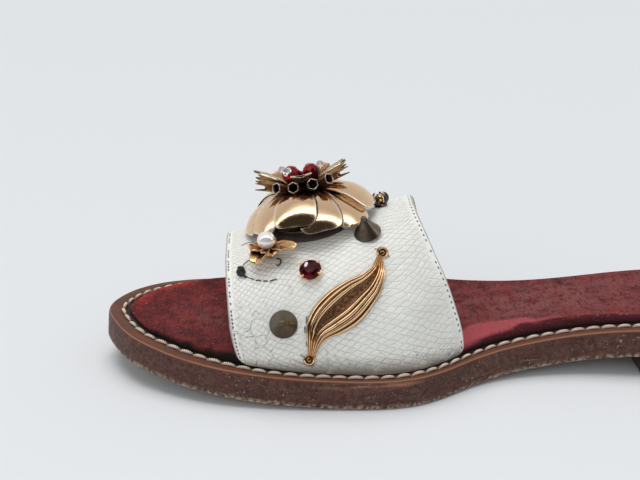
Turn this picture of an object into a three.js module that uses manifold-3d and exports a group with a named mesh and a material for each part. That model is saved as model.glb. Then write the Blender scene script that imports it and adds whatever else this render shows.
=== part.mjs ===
// A slide sandal for the right foot: a stitched leather sole with a low heel, a raised suede
// footbed, and one wide hollow strap over the instep that carries jewelled ornaments.
// Millimetres, +Z up. X runs from the toe (-X) to the heel (+X); the big-toe side is -Y.

import * as THREE from 'three';
import { mergeVertices } from 'three/addons/utils/BufferGeometryUtils.js';
import Module from 'manifold-3d';

// Driving dimensions

const LENGTH = 260; // sole, toe tip to heel end
const SOLE_THICKNESS = 10.5;
const SOLE_EDGE_BEVEL = 0.9;
const SOLE_FLARE = 0.8; // the sole's foot stands out this much past its top edge
const TOE_SPRING = 9; // how far the toe tip lifts off the floor
const BALL_FLAT = { from: 100, to: 117 }; // the sole lies flat on the floor here
const HEEL_LIFT = 8; // underside of the sole above the floor at the heel
const HEEL_LIFT_END = 205;
const HEEL_BREAST = 196; // front face of the heel block
const HEEL_INSET = 0.8;
const SEAT_GAP = 0.3; // clearance between pieces that touch

// Ledge left around the footbed for the welt stitch
const LEDGE = {
  toe: 7.5, ball: 4.8, heel: 6, narrows: { from: 15, to: 62 }, widens: { from: 115, to: 140 },
};
const FOOTBED_TOE = { height: 1.3, ends: 42 }; // skived thin towards the toe tip
const FOOTBED_HEIGHT = 3;
const FOOTBED_ROUND = 1;
const FOOTBED_CLEARANCE = 0.5; // round the strap's wall and margins
const ARCH = { along: 158, reach: 48, rise: 2.2, width: 20 }; // swell under the inner arch

const STRAP_INSET = 4.7; // strap's outer face from the edge of the sole
const STRAP_WALL = 1.7;
const STRAP_CORNER = 5; // rounded lower corners
const MARGIN_WIDTH = 9; // turned-in margin under the footbed
const MARGIN_WALL = 1.2;
const STRAP_FRONT = { medial: 50, lateral: 47.5, crest: 43.4, height: 45.6, leanPower: 0.38, bulge: 0 };
const STRAP_REAR = { medial: 127.7, lateral: 122, crest: 111.3, height: 58, leanPower: 1.7, bulge: 1 };
const STRAP_SKEW = 3; // the ridge of the instep lies this far to the inner side
const STRAP_FULLNESS = 2.2; // exponent of the arch: 2 is an ellipse

// Where ornaments sit on the strap: along it from front edge (0) to rear edge (1), and how far
// over the instep, in degrees from the inner side.
const SEATS = {
  flower: { along: 0.45, turn: 94 },
  blossom: { along: 0.227, turn: 66.6 },
  stone: { along: 0.414, turn: 52.4 },
  leaf: { along: 0.549, turn: 35.5 },
  coneTop: { along: 0.727, turn: 70 },
  coneSide: { along: 0.243, turn: 24.5 },
  claw: { along: 0.827, turn: 95 },
};

const PETAL_SHEET = 0.9;
// Domed flower: distance from its axis as a share of the rim's radius, height above the strap
const FLOWER = {
  petals: 10, rim: 23, hole: 4.4, notch: 0.13, crown: 1.3,
  profile: [[0.19, 11.4], [0.38, 11.9], [0.565, 11.5], [0.72, 10.1], [0.85, 7.8], [0.93, 5.6], [1, 2.6]],
};
const POST = { plate: 14, plateThickness: 1, cone: 2, stem: 4, top: 12.3, head: 5, headThickness: 0.8 };
const CROWN_DISC = { base: 13.4, radius: 7.6, thickness: 0.8 };
const CROWN_LEAF = {
  count: 4, from: 6.8, tip: 17, root: 2.4, widest: 13, width: 7.6, thickness: 0.8, seat: 0.5, lift: 29,
};
const CROWN_CUP = {
  count: 12, from: 7, seat: 0.6, foot: 1.5, footBore: 1.1, mouth: 2, bore: 1.5, floor: 1.2,
  height: 7.6, lean: 68,
};
const RED_BEAD = { radius: 3.25, left: [-3.1, -0.8], right: [3.6, 0.4] };
// The clear beads lie behind the red ones, in these directions from them
const CLEAR_BEAD = { radius: 1.5, left: [-2.7, 4, 0.5], right: [3.6, 3.25, 1.3] };
const PEARL_RADIUS = 3.25;
// Small blossom with curled petals on a short stem, turned up from the strap
const BLOSSOM = {
  petals: 5, rim: 7.6, hole: 0.9, notch: 0.24, crown: -0.9, lean: 16, spin: -26,
  profile: [[0.16, 2.4], [0.45, 2.1], [0.75, 3.2], [1, 5.4]],
};
const BLOSSOM_STEM = { foot: 1.6, neck: 1.3, height: 2.2 };
const STONE = { radius: 3.7, culet: 2, table: 2.1, from: 0.7, girdle: 1.8, girdleTop: 2.1, top: 3.6 };
const SETTING = { foot: 3.4, outer: 4.3, height: 1.6, bore: 3.2, boreEdge: 1.4, seat: 1.9, floor: 0.4 };
const CONE = { radius: 4.8, height: 7.6, skirt: 0.7, tip: 0.35, point: 7.8 };
const CLAW = {
  foot: 2.4, waist: 1.7, waistAt: 1.5, radius: 3, height: 4.2, bore: 1.9, seat: 1.3, floor: 2.6,
};
// Leaf brooch: its middle line in millimetres on the strap (towards the heel, up over the instep)
// from tip to tail, with the half width there
const LEAF = [
  [14.8, 13.6, 0.9],
  [12.5, 8.2, 2.7],
  [8.4, 4.1, 4.6],
  [3.1, 0.9, 6.2],
  [-2.4, -2.6, 6.9],
  [-7.9, -6.1, 6.2],
  [-12.1, -9.4, 4.6],
  [-14.9, -13.4, 2.7],
  [-17.5, -19.4, 1],
].map(([heelward, upward, half]) => ({ heelward, upward, half }));
const LEAF_RELIEF = [0.5, 1.9, 2.7, 2.3, 1.5, 2.3, 2.7, 1.9, 0.5]; // heights across the leaf
const LEAF_POINT = { height: 0.9, until: 4 }; // at its ends, and the half width that has full relief
const EYELET = { radius: 1.5, wire: 0.5, top: [16.2, 14.5], low: [-18.7, -20.6] };

// Outline of the sole: distance from the toe tip, then the inner and the outer edge.

const TOE_TIP = -2;
const HEEL_END = 1.5;
const OUTLINE = [
  [4, -14.5, 12],
  [10, -24, 21.5],
  [18, -31, 29.5],
  [28, -37.5, 35.5],
  [42, -43.2, 40.5],
  [60, -47, 44],
  [80, -48.6, 46],
  [97, -48.8, 46.4],
  [109, -46.5, 45.4],
  [119, -41, 44.4],
  [129, -33.8, 42],
  [140, -28.2, 38],
  [152, -25.2, 33.6],
  [166, -24, 30.2],
  [182, -25.2, 29],
  [202, -28.2, 30],
  [222, -29.6, 31.6],
  [238, -27.6, 30],
  [249, -21.5, 24.2],
  [256.5, -12, 14.8],
].map(([along, medial, lateral]) => ({ along, medial, lateral }));

const RING_STEPS = 2; // ring points per row of the outline
const SIDE = (OUTLINE.length + 1) * RING_STEPS; // ring points on one side
const RING = 2 * SIDE;
const CAP_COLUMNS = 6;

const wasm = await Module();
wasm.setup();

// Shapes shared by the pieces

const edgeCurve = new THREE.CatmullRomCurve3(
  [
    new THREE.Vector3(0, TOE_TIP, 0),
    ...OUTLINE.map((row) => new THREE.Vector3(row.along, row.lateral, 0)),
    new THREE.Vector3(LENGTH, HEEL_END, 0),
    ...OUTLINE.map((row) => new THREE.Vector3(row.along, row.medial, 0)).reverse(),
  ],
  true,
  'centripetal',
);

// Point k of the sole's edge, moved inwards by inset: toe tip, outer side, heel end, inner side.
function edgePoint(k, inset) {
  const share = (((k % RING) + RING) % RING) / RING;
  const tangent = edgeCurve.getTangent(share);
  return edgeCurve.getPoint(share).add(new THREE.Vector3(tangent.y, -tangent.x, 0).multiplyScalar(inset));
}

// The edge of one side at a distance from the toe tip, moved inwards by inset.
function sidePoint(side, along, inset) {
  const stations = [0, ...OUTLINE.map((row) => row.along), LENGTH];
  const next = THREE.MathUtils.clamp(stations.findIndex((s) => s >= along), 1, stations.length - 1);
  const share = (along - stations[next - 1]) / (stations[next] - stations[next - 1]);
  const step = (next - 1 + share) * RING_STEPS;
  return edgePoint(side === 'lateral' ? step : RING - step, inset);
}

function smoothStep(from, to, value) {
  return THREE.MathUtils.smoothstep(value, from, to);
}

// Height of the sole's underside above the floor.
function soleRise(along) {
  if (along < BALL_FLAT.from) return TOE_SPRING * ((BALL_FLAT.from - along) / BALL_FLAT.from) ** 2;
  return HEEL_LIFT * smoothStep(BALL_FLAT.to, HEEL_LIFT_END, along);
}

function soleTop(along) {
  return soleRise(along) + SOLE_THICKNESS;
}

function closedGeometry(points, triangles) {
  const positions = points.flatMap((p) => [p.x, p.y, p.z]);
  const geometry = new THREE.BufferGeometry();
  geometry.setAttribute('position', new THREE.Float32BufferAttribute(positions, 3));
  geometry.setIndex(triangles.flat());
  return geometry;
}

// A solid of rings around the sole's outline, lowest first. Each level gives the inset and the
// height of its ring; the first and the last are closed by rows of faces across the shoe.
function ringSolid(levels, firstRow = 0) {
  const points = [];
  const triangles = [];
  const whole = firstRow === 0;
  const ringIndex = [];
  for (let k = firstRow; k <= (whole ? RING - 1 : RING - firstRow); k += 1) ringIndex.push(k);
  const rings = levels.map(({ inset, height }) => ringIndex.map((k) => {
    const p = edgePoint(k, inset(edgePoint(k, 0).x));
    p.z = height(p.x, p.y);
    return points.push(p) - 1;
  }));
  const count = ringIndex.length;
  const walls = whole ? count : count - 1;
  for (let level = 1; level < levels.length; level += 1) {
    for (let i = 0; i < walls; i += 1) {
      const [a, b] = [rings[level - 1][i], rings[level - 1][(i + 1) % count]];
      const [c, d] = [rings[level][i], rings[level][(i + 1) % count]];
      triangles.push([a, c, b], [b, c, d]);
    }
  }
  const caps = [0, levels.length - 1].map((level) => {
    const ring = rings[level];
    const rows = [];
    for (let row = firstRow; row <= SIDE; row += 1) {
      const outer = ring[row - firstRow];
      const inner = whole ? ring[(RING - row) % RING] : ring[count - 1 - (row - firstRow)];
      const line = [outer];
      for (let column = 1; column < CAP_COLUMNS && outer !== inner; column += 1) {
        const p = points[outer].clone().lerp(points[inner], column / CAP_COLUMNS);
        p.z = levels[level].height(p.x, p.y);
        line.push(points.push(p) - 1);
      }
      while (line.length < CAP_COLUMNS) line.push(outer);
      rows.push([...line, inner]);
    }
    for (let row = 1; row < rows.length; row += 1) {
      for (let column = 0; column < CAP_COLUMNS; column += 1) {
        const [a, b] = [rows[row - 1][column], rows[row - 1][column + 1]];
        const [c, d] = [rows[row][column], rows[row][column + 1]];
        const faces = [[a, b, c], [b, d, c]].filter(([p, q, r]) => p !== q && q !== r && r !== p);
        triangles.push(...faces.map(([p, q, r]) => (level === 0 ? [p, r, q] : [p, q, r])));
      }
    }
    return rows;
  });
  if (!whole) {
    const [low, high] = caps.map((rows) => rows[0]);
    for (let column = 0; column < CAP_COLUMNS; column += 1) {
      const [a, b, c, d] = [low[column], low[column + 1], high[column], high[column + 1]];
      triangles.push([a, b, c], [b, d, c]);
    }
  }
  return closedGeometry(points, triangles);
}

function solidOf(geometry) {
  const bare = geometry.clone();
  bare.deleteAttribute('normal');
  bare.deleteAttribute('uv');
  const merged = mergeVertices(bare, 1e-4);
  return new wasm.Manifold(new wasm.Mesh({
    numProp: 3,
    vertProperties: Float32Array.from(merged.attributes.position.array),
    triVerts: Uint32Array.from(merged.index.array),
  }));
}

function geometryOf(solid) {
  const mesh = solid.getMesh();
  const positions = Float32Array.from(mesh.vertProperties);
  const geometry = new THREE.BufferGeometry();
  geometry.setAttribute('position', new THREE.Float32BufferAttribute(positions, 3));
  geometry.setIndex(Array.from(mesh.triVerts));
  return geometry;
}

// Sole and heel

function outsoleGeometry() {
  return ringSolid([
    { inset: () => SOLE_EDGE_BEVEL - SOLE_FLARE, height: soleRise },
    { inset: () => -SOLE_FLARE, height: (x) => soleRise(x) + SOLE_EDGE_BEVEL },
    { inset: () => 0, height: (x) => soleTop(x) - SOLE_EDGE_BEVEL },
    { inset: () => SOLE_EDGE_BEVEL, height: soleTop },
  ]);
}

function heelGeometry() {
  const firstRow = OUTLINE.findIndex((row) => row.along > HEEL_BREAST) * RING_STEPS + 1;
  return ringSolid([
    { inset: () => HEEL_INSET, height: () => 0 },
    { inset: () => HEEL_INSET, height: (x) => soleRise(x) - SEAT_GAP },
  ], firstRow);
}

// Strap: the wall is worked out from the arch of its outer face.

const mix = THREE.MathUtils.lerp;

// Outer face of the strap: along is 0 at the front edge and 1 at the rear, turn runs over the
// instep from 0 at the inner side to PI at the outer side.
function strapFace(along, turn, corner = STRAP_CORNER) {
  const row = {};
  for (const key of Object.keys(STRAP_FRONT)) row[key] = mix(STRAP_FRONT[key], STRAP_REAR[key], along);
  const power = 2 / STRAP_FULLNESS;
  const sine = Math.max(0, Math.sin(turn));
  const cosine = Math.cos(turn);
  const share = (1 - cosine) / 2;
  const baseLine = mix(row.medial, row.lateral, share);
  const floor = soleTop(baseLine) + SEAT_GAP;
  const lift = (row.height - floor) * sine ** power;
  const rounding = corner - Math.sqrt(corner ** 2 - Math.max(0, corner - lift) ** 2);
  const pull = rounding * (1 - 2 * along);
  const medial = sidePoint('medial', row.medial + pull, STRAP_INSET);
  const lateral = sidePoint('lateral', row.lateral + pull, STRAP_INSET);
  const lean = (row.crest - baseLine) * sine ** (row.leanPower * power);
  const half = (lateral.y - medial.y) / 2;
  const middle = (lateral.y + medial.y) / 2;
  return new THREE.Vector3(
    baseLine + lean + pull,
    middle - half * Math.sign(cosine) * Math.abs(cosine) ** power
      - row.bulge * Math.sin(2 * turn) - STRAP_SKEW * sine ** 2,
    floor + lift,
  );
}

function strapNormal(along, turn) {
  const step = 1e-3;
  const safe = THREE.MathUtils.clamp(turn, step, Math.PI - step);
  const across = strapFace(along, safe + step, 0).sub(strapFace(along, safe - step, 0));
  const lengthwise = strapFace(along + step, safe, 0).sub(strapFace(along - step, safe, 0));
  return lengthwise.cross(across).normalize();
}

const STRAP_ROWS = 14;
const STRAP_TURNS = 28;

// The strap as one wall with turned-in margins. For the footbed's clearance it has square corners,
// grows inwards and at its edges, and outwards far enough to leave no sliver outside.
function strapGeometry(corner = STRAP_CORNER, grow = 0, growOut = 0) {
  const points = [];
  const loops = [];
  const margin = (base, side, reach, height) => {
    const inward = side === 'medial' ? 1 : -1;
    return new THREE.Vector3(base.x, base.y + inward * reach, base.z + height);
  };
  for (let row = 0; row <= STRAP_ROWS; row += 1) {
    const past = row === 0 ? -1 : Math.max(0, row - STRAP_ROWS + 1);
    const along = row / STRAP_ROWS + (past * grow) / (STRAP_REAR.crest - STRAP_FRONT.crest);
    const outer = [];
    const inner = [];
    const medial = strapFace(along, 0, corner);
    const lateral = strapFace(along, Math.PI, corner);
    outer.push(
      margin(medial, 'medial', MARGIN_WIDTH + grow, -grow),
      margin(medial, 'medial', -growOut, -grow),
    );
    inner.push(
      margin(medial, 'medial', MARGIN_WIDTH + grow, MARGIN_WALL + grow),
      margin(medial, 'medial', STRAP_WALL + grow, MARGIN_WALL + grow),
    );
    for (let step = 1; step < STRAP_TURNS; step += 1) {
      const turn = (Math.PI * step) / STRAP_TURNS;
      const face = strapFace(along, turn, corner);
      const normal = strapNormal(along, turn);
      outer.push(face.clone().addScaledVector(normal, growOut));
      inner.push(face.clone().addScaledVector(normal, -STRAP_WALL - grow));
    }
    outer.push(
      margin(lateral, 'lateral', -growOut, -grow),
      margin(lateral, 'lateral', MARGIN_WIDTH + grow, -grow),
    );
    inner.push(
      margin(lateral, 'lateral', STRAP_WALL + grow, MARGIN_WALL + grow),
      margin(lateral, 'lateral', MARGIN_WIDTH + grow, MARGIN_WALL + grow),
    );
    loops.push([...outer, ...inner.reverse()].map((p) => points.push(p) - 1));
  }
  const triangles = [];
  const count = loops[0].length;
  for (let row = 1; row < loops.length; row += 1) {
    for (let i = 0; i < count; i += 1) {
      const [a, b] = [loops[row - 1][i], loops[row - 1][(i + 1) % count]];
      const [c, d] = [loops[row][i], loops[row][(i + 1) % count]];
      triangles.push([a, c, b], [b, c, d]);
    }
  }
  for (const [loop, front] of [[loops[0], true], [loops[STRAP_ROWS], false]]) {
    for (let i = 0; i < count / 2 - 1; i += 1) {
      const [a, b, c, d] = [loop[i], loop[i + 1], loop[count - 1 - i], loop[count - 2 - i]];
      triangles.push(...(front ? [[a, b, c], [b, d, c]] : [[a, c, b], [b, c, d]]));
    }
  }
  return closedGeometry(points, triangles);
}

// Footbed

function ledge(along) {
  const ball = mix(LEDGE.toe, LEDGE.ball, smoothStep(LEDGE.narrows.from, LEDGE.narrows.to, along));
  return mix(ball, LEDGE.heel, smoothStep(LEDGE.widens.from, LEDGE.widens.to, along));
}

function footbedTop(along, across) {
  const toe = smoothStep(0, FOOTBED_TOE.ends, along);
  const swell = Math.max(0, 1 - ((along - ARCH.along) / ARCH.reach) ** 2) ** 2;
  const medial = sidePoint('medial', along, ledge(along)).y;
  const fade = Math.max(0, 1 - Math.max(0, across - medial) / ARCH.width) ** 2;
  return soleTop(along) + mix(FOOTBED_TOE.height, FOOTBED_HEIGHT, toe) + ARCH.rise * swell * fade;
}

function footbedGeometry() {
  const footbed = ringSolid([
    { inset: ledge, height: (x) => soleTop(x) + SEAT_GAP },
    { inset: ledge, height: (x, y) => footbedTop(x, y) - FOOTBED_ROUND },
    { inset: (x) => ledge(x) + FOOTBED_ROUND, height: footbedTop },
  ]);
  const strapRoom = strapGeometry(0, FOOTBED_CLEARANCE, STRAP_INSET);
  return geometryOf(solidOf(footbed).subtract(solidOf(strapRoom)));
}

// Ornaments

function radians({ along, turn }) {
  return { along, turn: THREE.MathUtils.degToRad(turn) };
}

// A point on the strap some millimetres from a seat: towards the heel, up over the instep, and
// above the face.
function overStrap(seat, heelward, upward, height) {
  const steps = 6;
  const small = 1e-3;
  let { along, turn } = radians(seat);
  for (let i = 0; i < steps; i += 1) {
    const here = strapFace(along, turn, 0);
    const perTurn = strapFace(along, turn + small, 0).distanceTo(here) / small;
    const perAlong = strapFace(along + small, turn, 0).distanceTo(here) / small;
    turn += upward / steps / perTurn;
    along += heelward / steps / perAlong;
  }
  return strapFace(along, turn, 0).addScaledVector(strapNormal(along, turn), height);
}

// A group whose floor lies on the strap at a seat: +Z out of the strap, +X towards the heel.
function seatGroup(seat) {
  const { along, turn } = radians(seat);
  const up = strapNormal(along, turn);
  const heelward = overStrap(seat, 1, 0, 0).sub(overStrap(seat, 0, 0, 0));
  const across = up.clone().cross(heelward).normalize();
  const frame = new THREE.Matrix4().makeBasis(across.clone().cross(up), across, up);
  frame.setPosition(overStrap(seat, 0, 0, SEAT_GAP));
  const group = new THREE.Group();
  group.applyMatrix4(frame);
  return group;
}

// Faces between closed loops of equal length; the row of loops is closed on itself or capped.
function loopSolid(loops, closed) {
  const count = loops[0].length;
  const points = loops.flat();
  const triangles = [];
  const at = (loop, i) => (loop % loops.length) * count + (i % count);
  for (let loop = 0; loop < (closed ? loops.length : loops.length - 1); loop += 1) {
    for (let i = 0; i < count; i += 1) {
      const [a, b, c, d] = [at(loop, i), at(loop, i + 1), at(loop + 1, i), at(loop + 1, i + 1)];
      triangles.push([a, c, b], [b, c, d]);
    }
  }
  if (!closed) {
    for (let i = 0; i < count / 2 - 1; i += 1) {
      const [a, b, c, d] = [i, i + 1, count - 1 - i, count - 2 - i];
      const last = (loops.length - 1) * count;
      triangles.push([a, b, c], [b, d, c]);
      triangles.push([last + a, last + c, last + b], [last + b, last + c, last + d]);
    }
  }
  return closedGeometry(points, triangles);
}

const PETAL_STEPS = 5;

// A sheet-metal flower: petals side by side round a hole, notched at the rim and crowned along
// their middles.
function petalSheet({ petals, rim, hole, notch, crown, profile }) {
  const loops = [];
  for (let k = 0; k < petals * PETAL_STEPS; k += 1) {
    const angle = (-2 * Math.PI * k) / (petals * PETAL_STEPS);
    const off = 2 * ((k % PETAL_STEPS) / PETAL_STEPS) - 1;
    const edge = rim * (1 - notch * off ** 4);
    const top = profile.map(([share, height]) => {
      const radius = hole + ((edge - hole) * (share - profile[0][0])) / (1 - profile[0][0]);
      const swell = crown * (1 - off ** 2) * share ** 2;
      return new THREE.Vector3(radius * Math.cos(angle), radius * Math.sin(angle), height + swell);
    });
    const under = top.map((p) => new THREE.Vector3(p.x, p.y, p.z - PETAL_SHEET));
    loops.push([...top, ...under.reverse()]);
  }
  return loopSolid(loops, true);
}

function lathe(profile, segments) {
  const turned = new THREE.LatheGeometry(profile.map(([r, z]) => new THREE.Vector2(r, z)), segments);
  return turned.rotateX(Math.PI / 2);
}

function flowerPostGeometry() {
  const { plate, plateThickness, cone, stem, top, head, headThickness } = POST;
  return lathe([
    [0, 0], [plate, 0], [plate, plateThickness], [stem, cone], [stem, top],
    [head, top], [head, top + headThickness], [0, top + headThickness],
  ], 18);
}

// Crown of the flower: a disc with pointed leaves and a ring of small open cups that lean outwards.
function crownGeometry() {
  const { base, radius, thickness } = CROWN_DISC;
  const top = base + thickness;
  let crown = solidOf(lathe([[0, base], [radius, base], [radius, top], [0, top]], 18));
  const leaf = CROWN_LEAF;
  const blade = new THREE.Shape([
    new THREE.Vector2(0, -leaf.root / 2),
    new THREE.Vector2(leaf.widest - leaf.from, -leaf.width / 2),
    new THREE.Vector2(leaf.tip - leaf.from, 0),
    new THREE.Vector2(leaf.widest - leaf.from, leaf.width / 2),
    new THREE.Vector2(0, leaf.root / 2),
  ]);
  for (let i = 0; i < leaf.count; i += 1) {
    const piece = new THREE.ExtrudeGeometry(blade, { depth: leaf.thickness, bevelEnabled: false });
    piece.rotateY(-THREE.MathUtils.degToRad(leaf.lift)).translate(leaf.from, 0, base + leaf.seat);
    crown = crown.add(solidOf(piece.rotateZ((2 * Math.PI * i) / leaf.count)));
  }
  const { count, from, seat, foot, footBore, mouth, bore, floor, height, lean } = CROWN_CUP;
  for (let i = 0; i < count; i += 1) {
    const cup = lathe([[0, 0], [foot, 0], [mouth, height], [bore, height], [footBore, floor], [0, floor]], 6);
    cup.rotateY(THREE.MathUtils.degToRad(lean)).translate(from, 0, base + seat);
    crown = crown.add(solidOf(cup.rotateZ((2 * Math.PI * (i + 0.5)) / count)));
  }
  return geometryOf(crown);
}

function blossomGeometry() {
  const { foot, neck, height } = BLOSSOM_STEM;
  const petals = petalSheet(BLOSSOM).rotateZ(THREE.MathUtils.degToRad(BLOSSOM.spin));
  const stem = lathe([[0, 0], [foot, 0], [neck, height], [0, height]], 12);
  return geometryOf(solidOf(petals).add(solidOf(stem)));
}

function stoneGeometry() {
  const { radius, culet, table, from, girdle, girdleTop, top } = STONE;
  return lathe([[0, from], [culet, from], [radius, girdle], [radius, girdleTop], [table, top], [0, top]], 10);
}

function settingGeometry() {
  const { foot, outer, height, bore, boreEdge, seat, floor } = SETTING;
  return lathe([[0, 0], [foot, 0], [outer, height], [bore, boreEdge], [seat, floor], [0, floor]], 16);
}

function coneGeometry() {
  const { radius, height, skirt, tip, point } = CONE;
  return lathe([[0, 0], [radius, 0], [radius, skirt], [tip, height], [0, point]], 20);
}

function clawGeometry() {
  const { foot, waist, waistAt, radius, height, bore, seat, floor } = CLAW;
  return lathe([
    [0, 0], [foot, 0], [waist, waistAt], [radius, height], [bore, height], [seat, floor], [0, floor],
  ], 9);
}

const LEAF_STATIONS = 16;

function leafGeometry() {
  const middle = new THREE.CatmullRomCurve3(
    LEAF.map((row) => new THREE.Vector3(row.heelward, row.upward, row.half)), false, 'centripetal',
  );
  const loops = [];
  for (let station = 0; station <= LEAF_STATIONS; station += 1) {
    const share = station / LEAF_STATIONS;
    const here = middle.getPoint(share);
    const way = middle.getTangent(share).setZ(0).normalize();
    const top = [];
    const under = [];
    LEAF_RELIEF.forEach((relief, i) => {
      const off = here.z * ((2 * i) / (LEAF_RELIEF.length - 1) - 1);
      const [heelward, upward] = [here.x - way.y * off, here.y + way.x * off];
      const height = mix(LEAF_POINT.height, relief, Math.min(1, here.z / LEAF_POINT.until));
      top.push(overStrap(SEATS.leaf, heelward, upward, SEAT_GAP + height));
      under.push(overStrap(SEATS.leaf, heelward, upward, SEAT_GAP));
    });
    loops.push([...top, ...under.reverse()]);
  }
  let leaf = solidOf(loopSolid(loops, false));
  for (const [heelward, upward] of [EYELET.top, EYELET.low]) {
    const ring = new THREE.TorusGeometry(EYELET.radius, EYELET.wire, 6, 14);
    const frame = new THREE.Group();
    frame.position.copy(overStrap(SEATS.leaf, heelward, upward, SEAT_GAP + EYELET.wire));
    const out = overStrap(SEATS.leaf, heelward, upward, 1).sub(overStrap(SEATS.leaf, heelward, upward, 0));
    frame.quaternion.setFromUnitVectors(new THREE.Vector3(0, 0, 1), out);
    frame.updateMatrix();
    leaf = leaf.add(solidOf(ring.applyMatrix4(frame.matrix)));
  }
  return geometryOf(leaf);
}

// Finishes

const finish = {
  soleLeather: new THREE.MeshStandardMaterial({ color: 0x54382f, roughness: 0.55 }),
  redSuede: new THREE.MeshStandardMaterial({ color: 0x7a2526, roughness: 0.95 }),
  scaleLeather: new THREE.MeshStandardMaterial({ color: 0xe2e1da, roughness: 0.45 }),
  roseGold: new THREE.MeshStandardMaterial({ color: 0xc89f80, roughness: 0.25, metalness: 1 }),
  oldGold: new THREE.MeshStandardMaterial({ color: 0xb07a45, roughness: 0.4, metalness: 1 }),
  yellowGold: new THREE.MeshStandardMaterial({ color: 0xd09a50, roughness: 0.3, metalness: 1 }),
  darkBronze: new THREE.MeshStandardMaterial({ color: 0x554b41, roughness: 0.45, metalness: 1 }),
  redGlass: new THREE.MeshStandardMaterial({ color: 0x6d0f14, roughness: 0.1 }),
  clearGlass: new THREE.MeshStandardMaterial({ color: 0xe6e2e4, roughness: 0.05 }),
  pearl: new THREE.MeshStandardMaterial({ color: 0xefe8e2, roughness: 0.25 }),
};

const shoe = new THREE.Group();

function addPiece(name, geometry, material, parent = shoe) {
  const piece = new THREE.Mesh(geometry, material);
  piece.name = name;
  parent.add(piece);
}

function addSeat(seat) {
  const group = seatGroup(seat);
  shoe.add(group);
  return group;
}

addPiece('outsole', outsoleGeometry(), finish.soleLeather);
addPiece('heel', heelGeometry(), finish.soleLeather);
addPiece('footbed', footbedGeometry(), finish.redSuede);
addPiece('strap', strapGeometry(), finish.scaleLeather);

const flower = addSeat(SEATS.flower);
addPiece('flower_post', flowerPostGeometry(), finish.darkBronze, flower);
addPiece('flower_petals', petalSheet(FLOWER), finish.roseGold, flower);
addPiece('flower_crown', crownGeometry(), finish.oldGold, flower);
const beadHeight = CROWN_DISC.base + CROWN_DISC.thickness + SEAT_GAP + RED_BEAD.radius;
for (const side of ['left', 'right']) {
  const red = new THREE.Vector3(...RED_BEAD[side], beadHeight);
  const reach = RED_BEAD.radius + CLEAR_BEAD.radius + SEAT_GAP;
  const clear = new THREE.Vector3(...CLEAR_BEAD[side]).setLength(reach).add(red);
  const redBead = new THREE.IcosahedronGeometry(RED_BEAD.radius, 1).translate(...red);
  const clearBead = new THREE.IcosahedronGeometry(CLEAR_BEAD.radius, 1).translate(...clear);
  addPiece(`red_bead_${side}`, redBead, finish.redGlass, flower);
  addPiece(`clear_bead_${side}`, clearBead, finish.clearGlass, flower);
}

const blossomSeat = addSeat(SEATS.blossom);
const lean = THREE.MathUtils.degToRad(BLOSSOM.lean);
blossomSeat.translateZ(BLOSSOM_STEM.foot * Math.sin(lean)).rotateX(-lean);
addPiece('blossom', blossomGeometry(), finish.yellowGold, blossomSeat);
const pearlHeight = BLOSSOM.profile[0][1] + SEAT_GAP + PEARL_RADIUS;
const pearl = new THREE.IcosahedronGeometry(PEARL_RADIUS, 2).translate(0, 0, pearlHeight);
addPiece('pearl', pearl, finish.pearl, blossomSeat);
const stoneSeat = addSeat(SEATS.stone);
addPiece('stone_setting', settingGeometry(), finish.yellowGold, stoneSeat);
addPiece('stone', stoneGeometry(), finish.redGlass, stoneSeat);
addPiece('leaf_brooch', leafGeometry(), finish.oldGold);
addPiece('cone_stud_top', coneGeometry(), finish.darkBronze, addSeat(SEATS.coneTop));
addPiece('cone_stud_side', coneGeometry(), finish.darkBronze, addSeat(SEATS.coneSide));
addPiece('claw_ornament', clawGeometry(), finish.darkBronze, addSeat(SEATS.claw));

// The shoe stands on the floor with the middle of its box over the origin.
const box = new THREE.Box3().setFromObject(shoe);
const centre = box.getCenter(new THREE.Vector3());
shoe.position.set(-centre.x, -centre.y, -box.min.z);

export default shoe;
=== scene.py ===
"""Dresses the slide sandal: sole, welt stitch, suede footbed, scale-embossed strap and its ornaments.
Metres, +Z up, toe at -X, the inner side of the foot at -Y."""
import math

import bmesh
import bpy
import numpy as np
from mathutils import Matrix, Vector
from mathutils.bvhtree import BVHTree


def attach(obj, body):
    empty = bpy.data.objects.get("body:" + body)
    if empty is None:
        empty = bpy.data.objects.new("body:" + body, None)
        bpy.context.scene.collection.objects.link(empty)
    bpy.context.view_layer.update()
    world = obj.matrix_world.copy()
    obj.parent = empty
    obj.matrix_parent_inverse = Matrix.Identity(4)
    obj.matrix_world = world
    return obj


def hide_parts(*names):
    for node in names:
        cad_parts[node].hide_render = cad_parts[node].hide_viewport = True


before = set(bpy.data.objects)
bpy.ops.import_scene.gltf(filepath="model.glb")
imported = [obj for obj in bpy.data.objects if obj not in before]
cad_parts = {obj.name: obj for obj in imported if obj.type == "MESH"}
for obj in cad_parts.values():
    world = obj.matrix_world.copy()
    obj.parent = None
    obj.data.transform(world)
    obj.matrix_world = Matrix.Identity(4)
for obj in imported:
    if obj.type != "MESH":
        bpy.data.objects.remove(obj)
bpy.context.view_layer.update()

# Setting
# A pale matt floor under one wide soft light, seen from where the photograph was taken. Polished pieces
# mirror a pale wall and ceiling, a bright light box above the camera and the dark front of the room.

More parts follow.
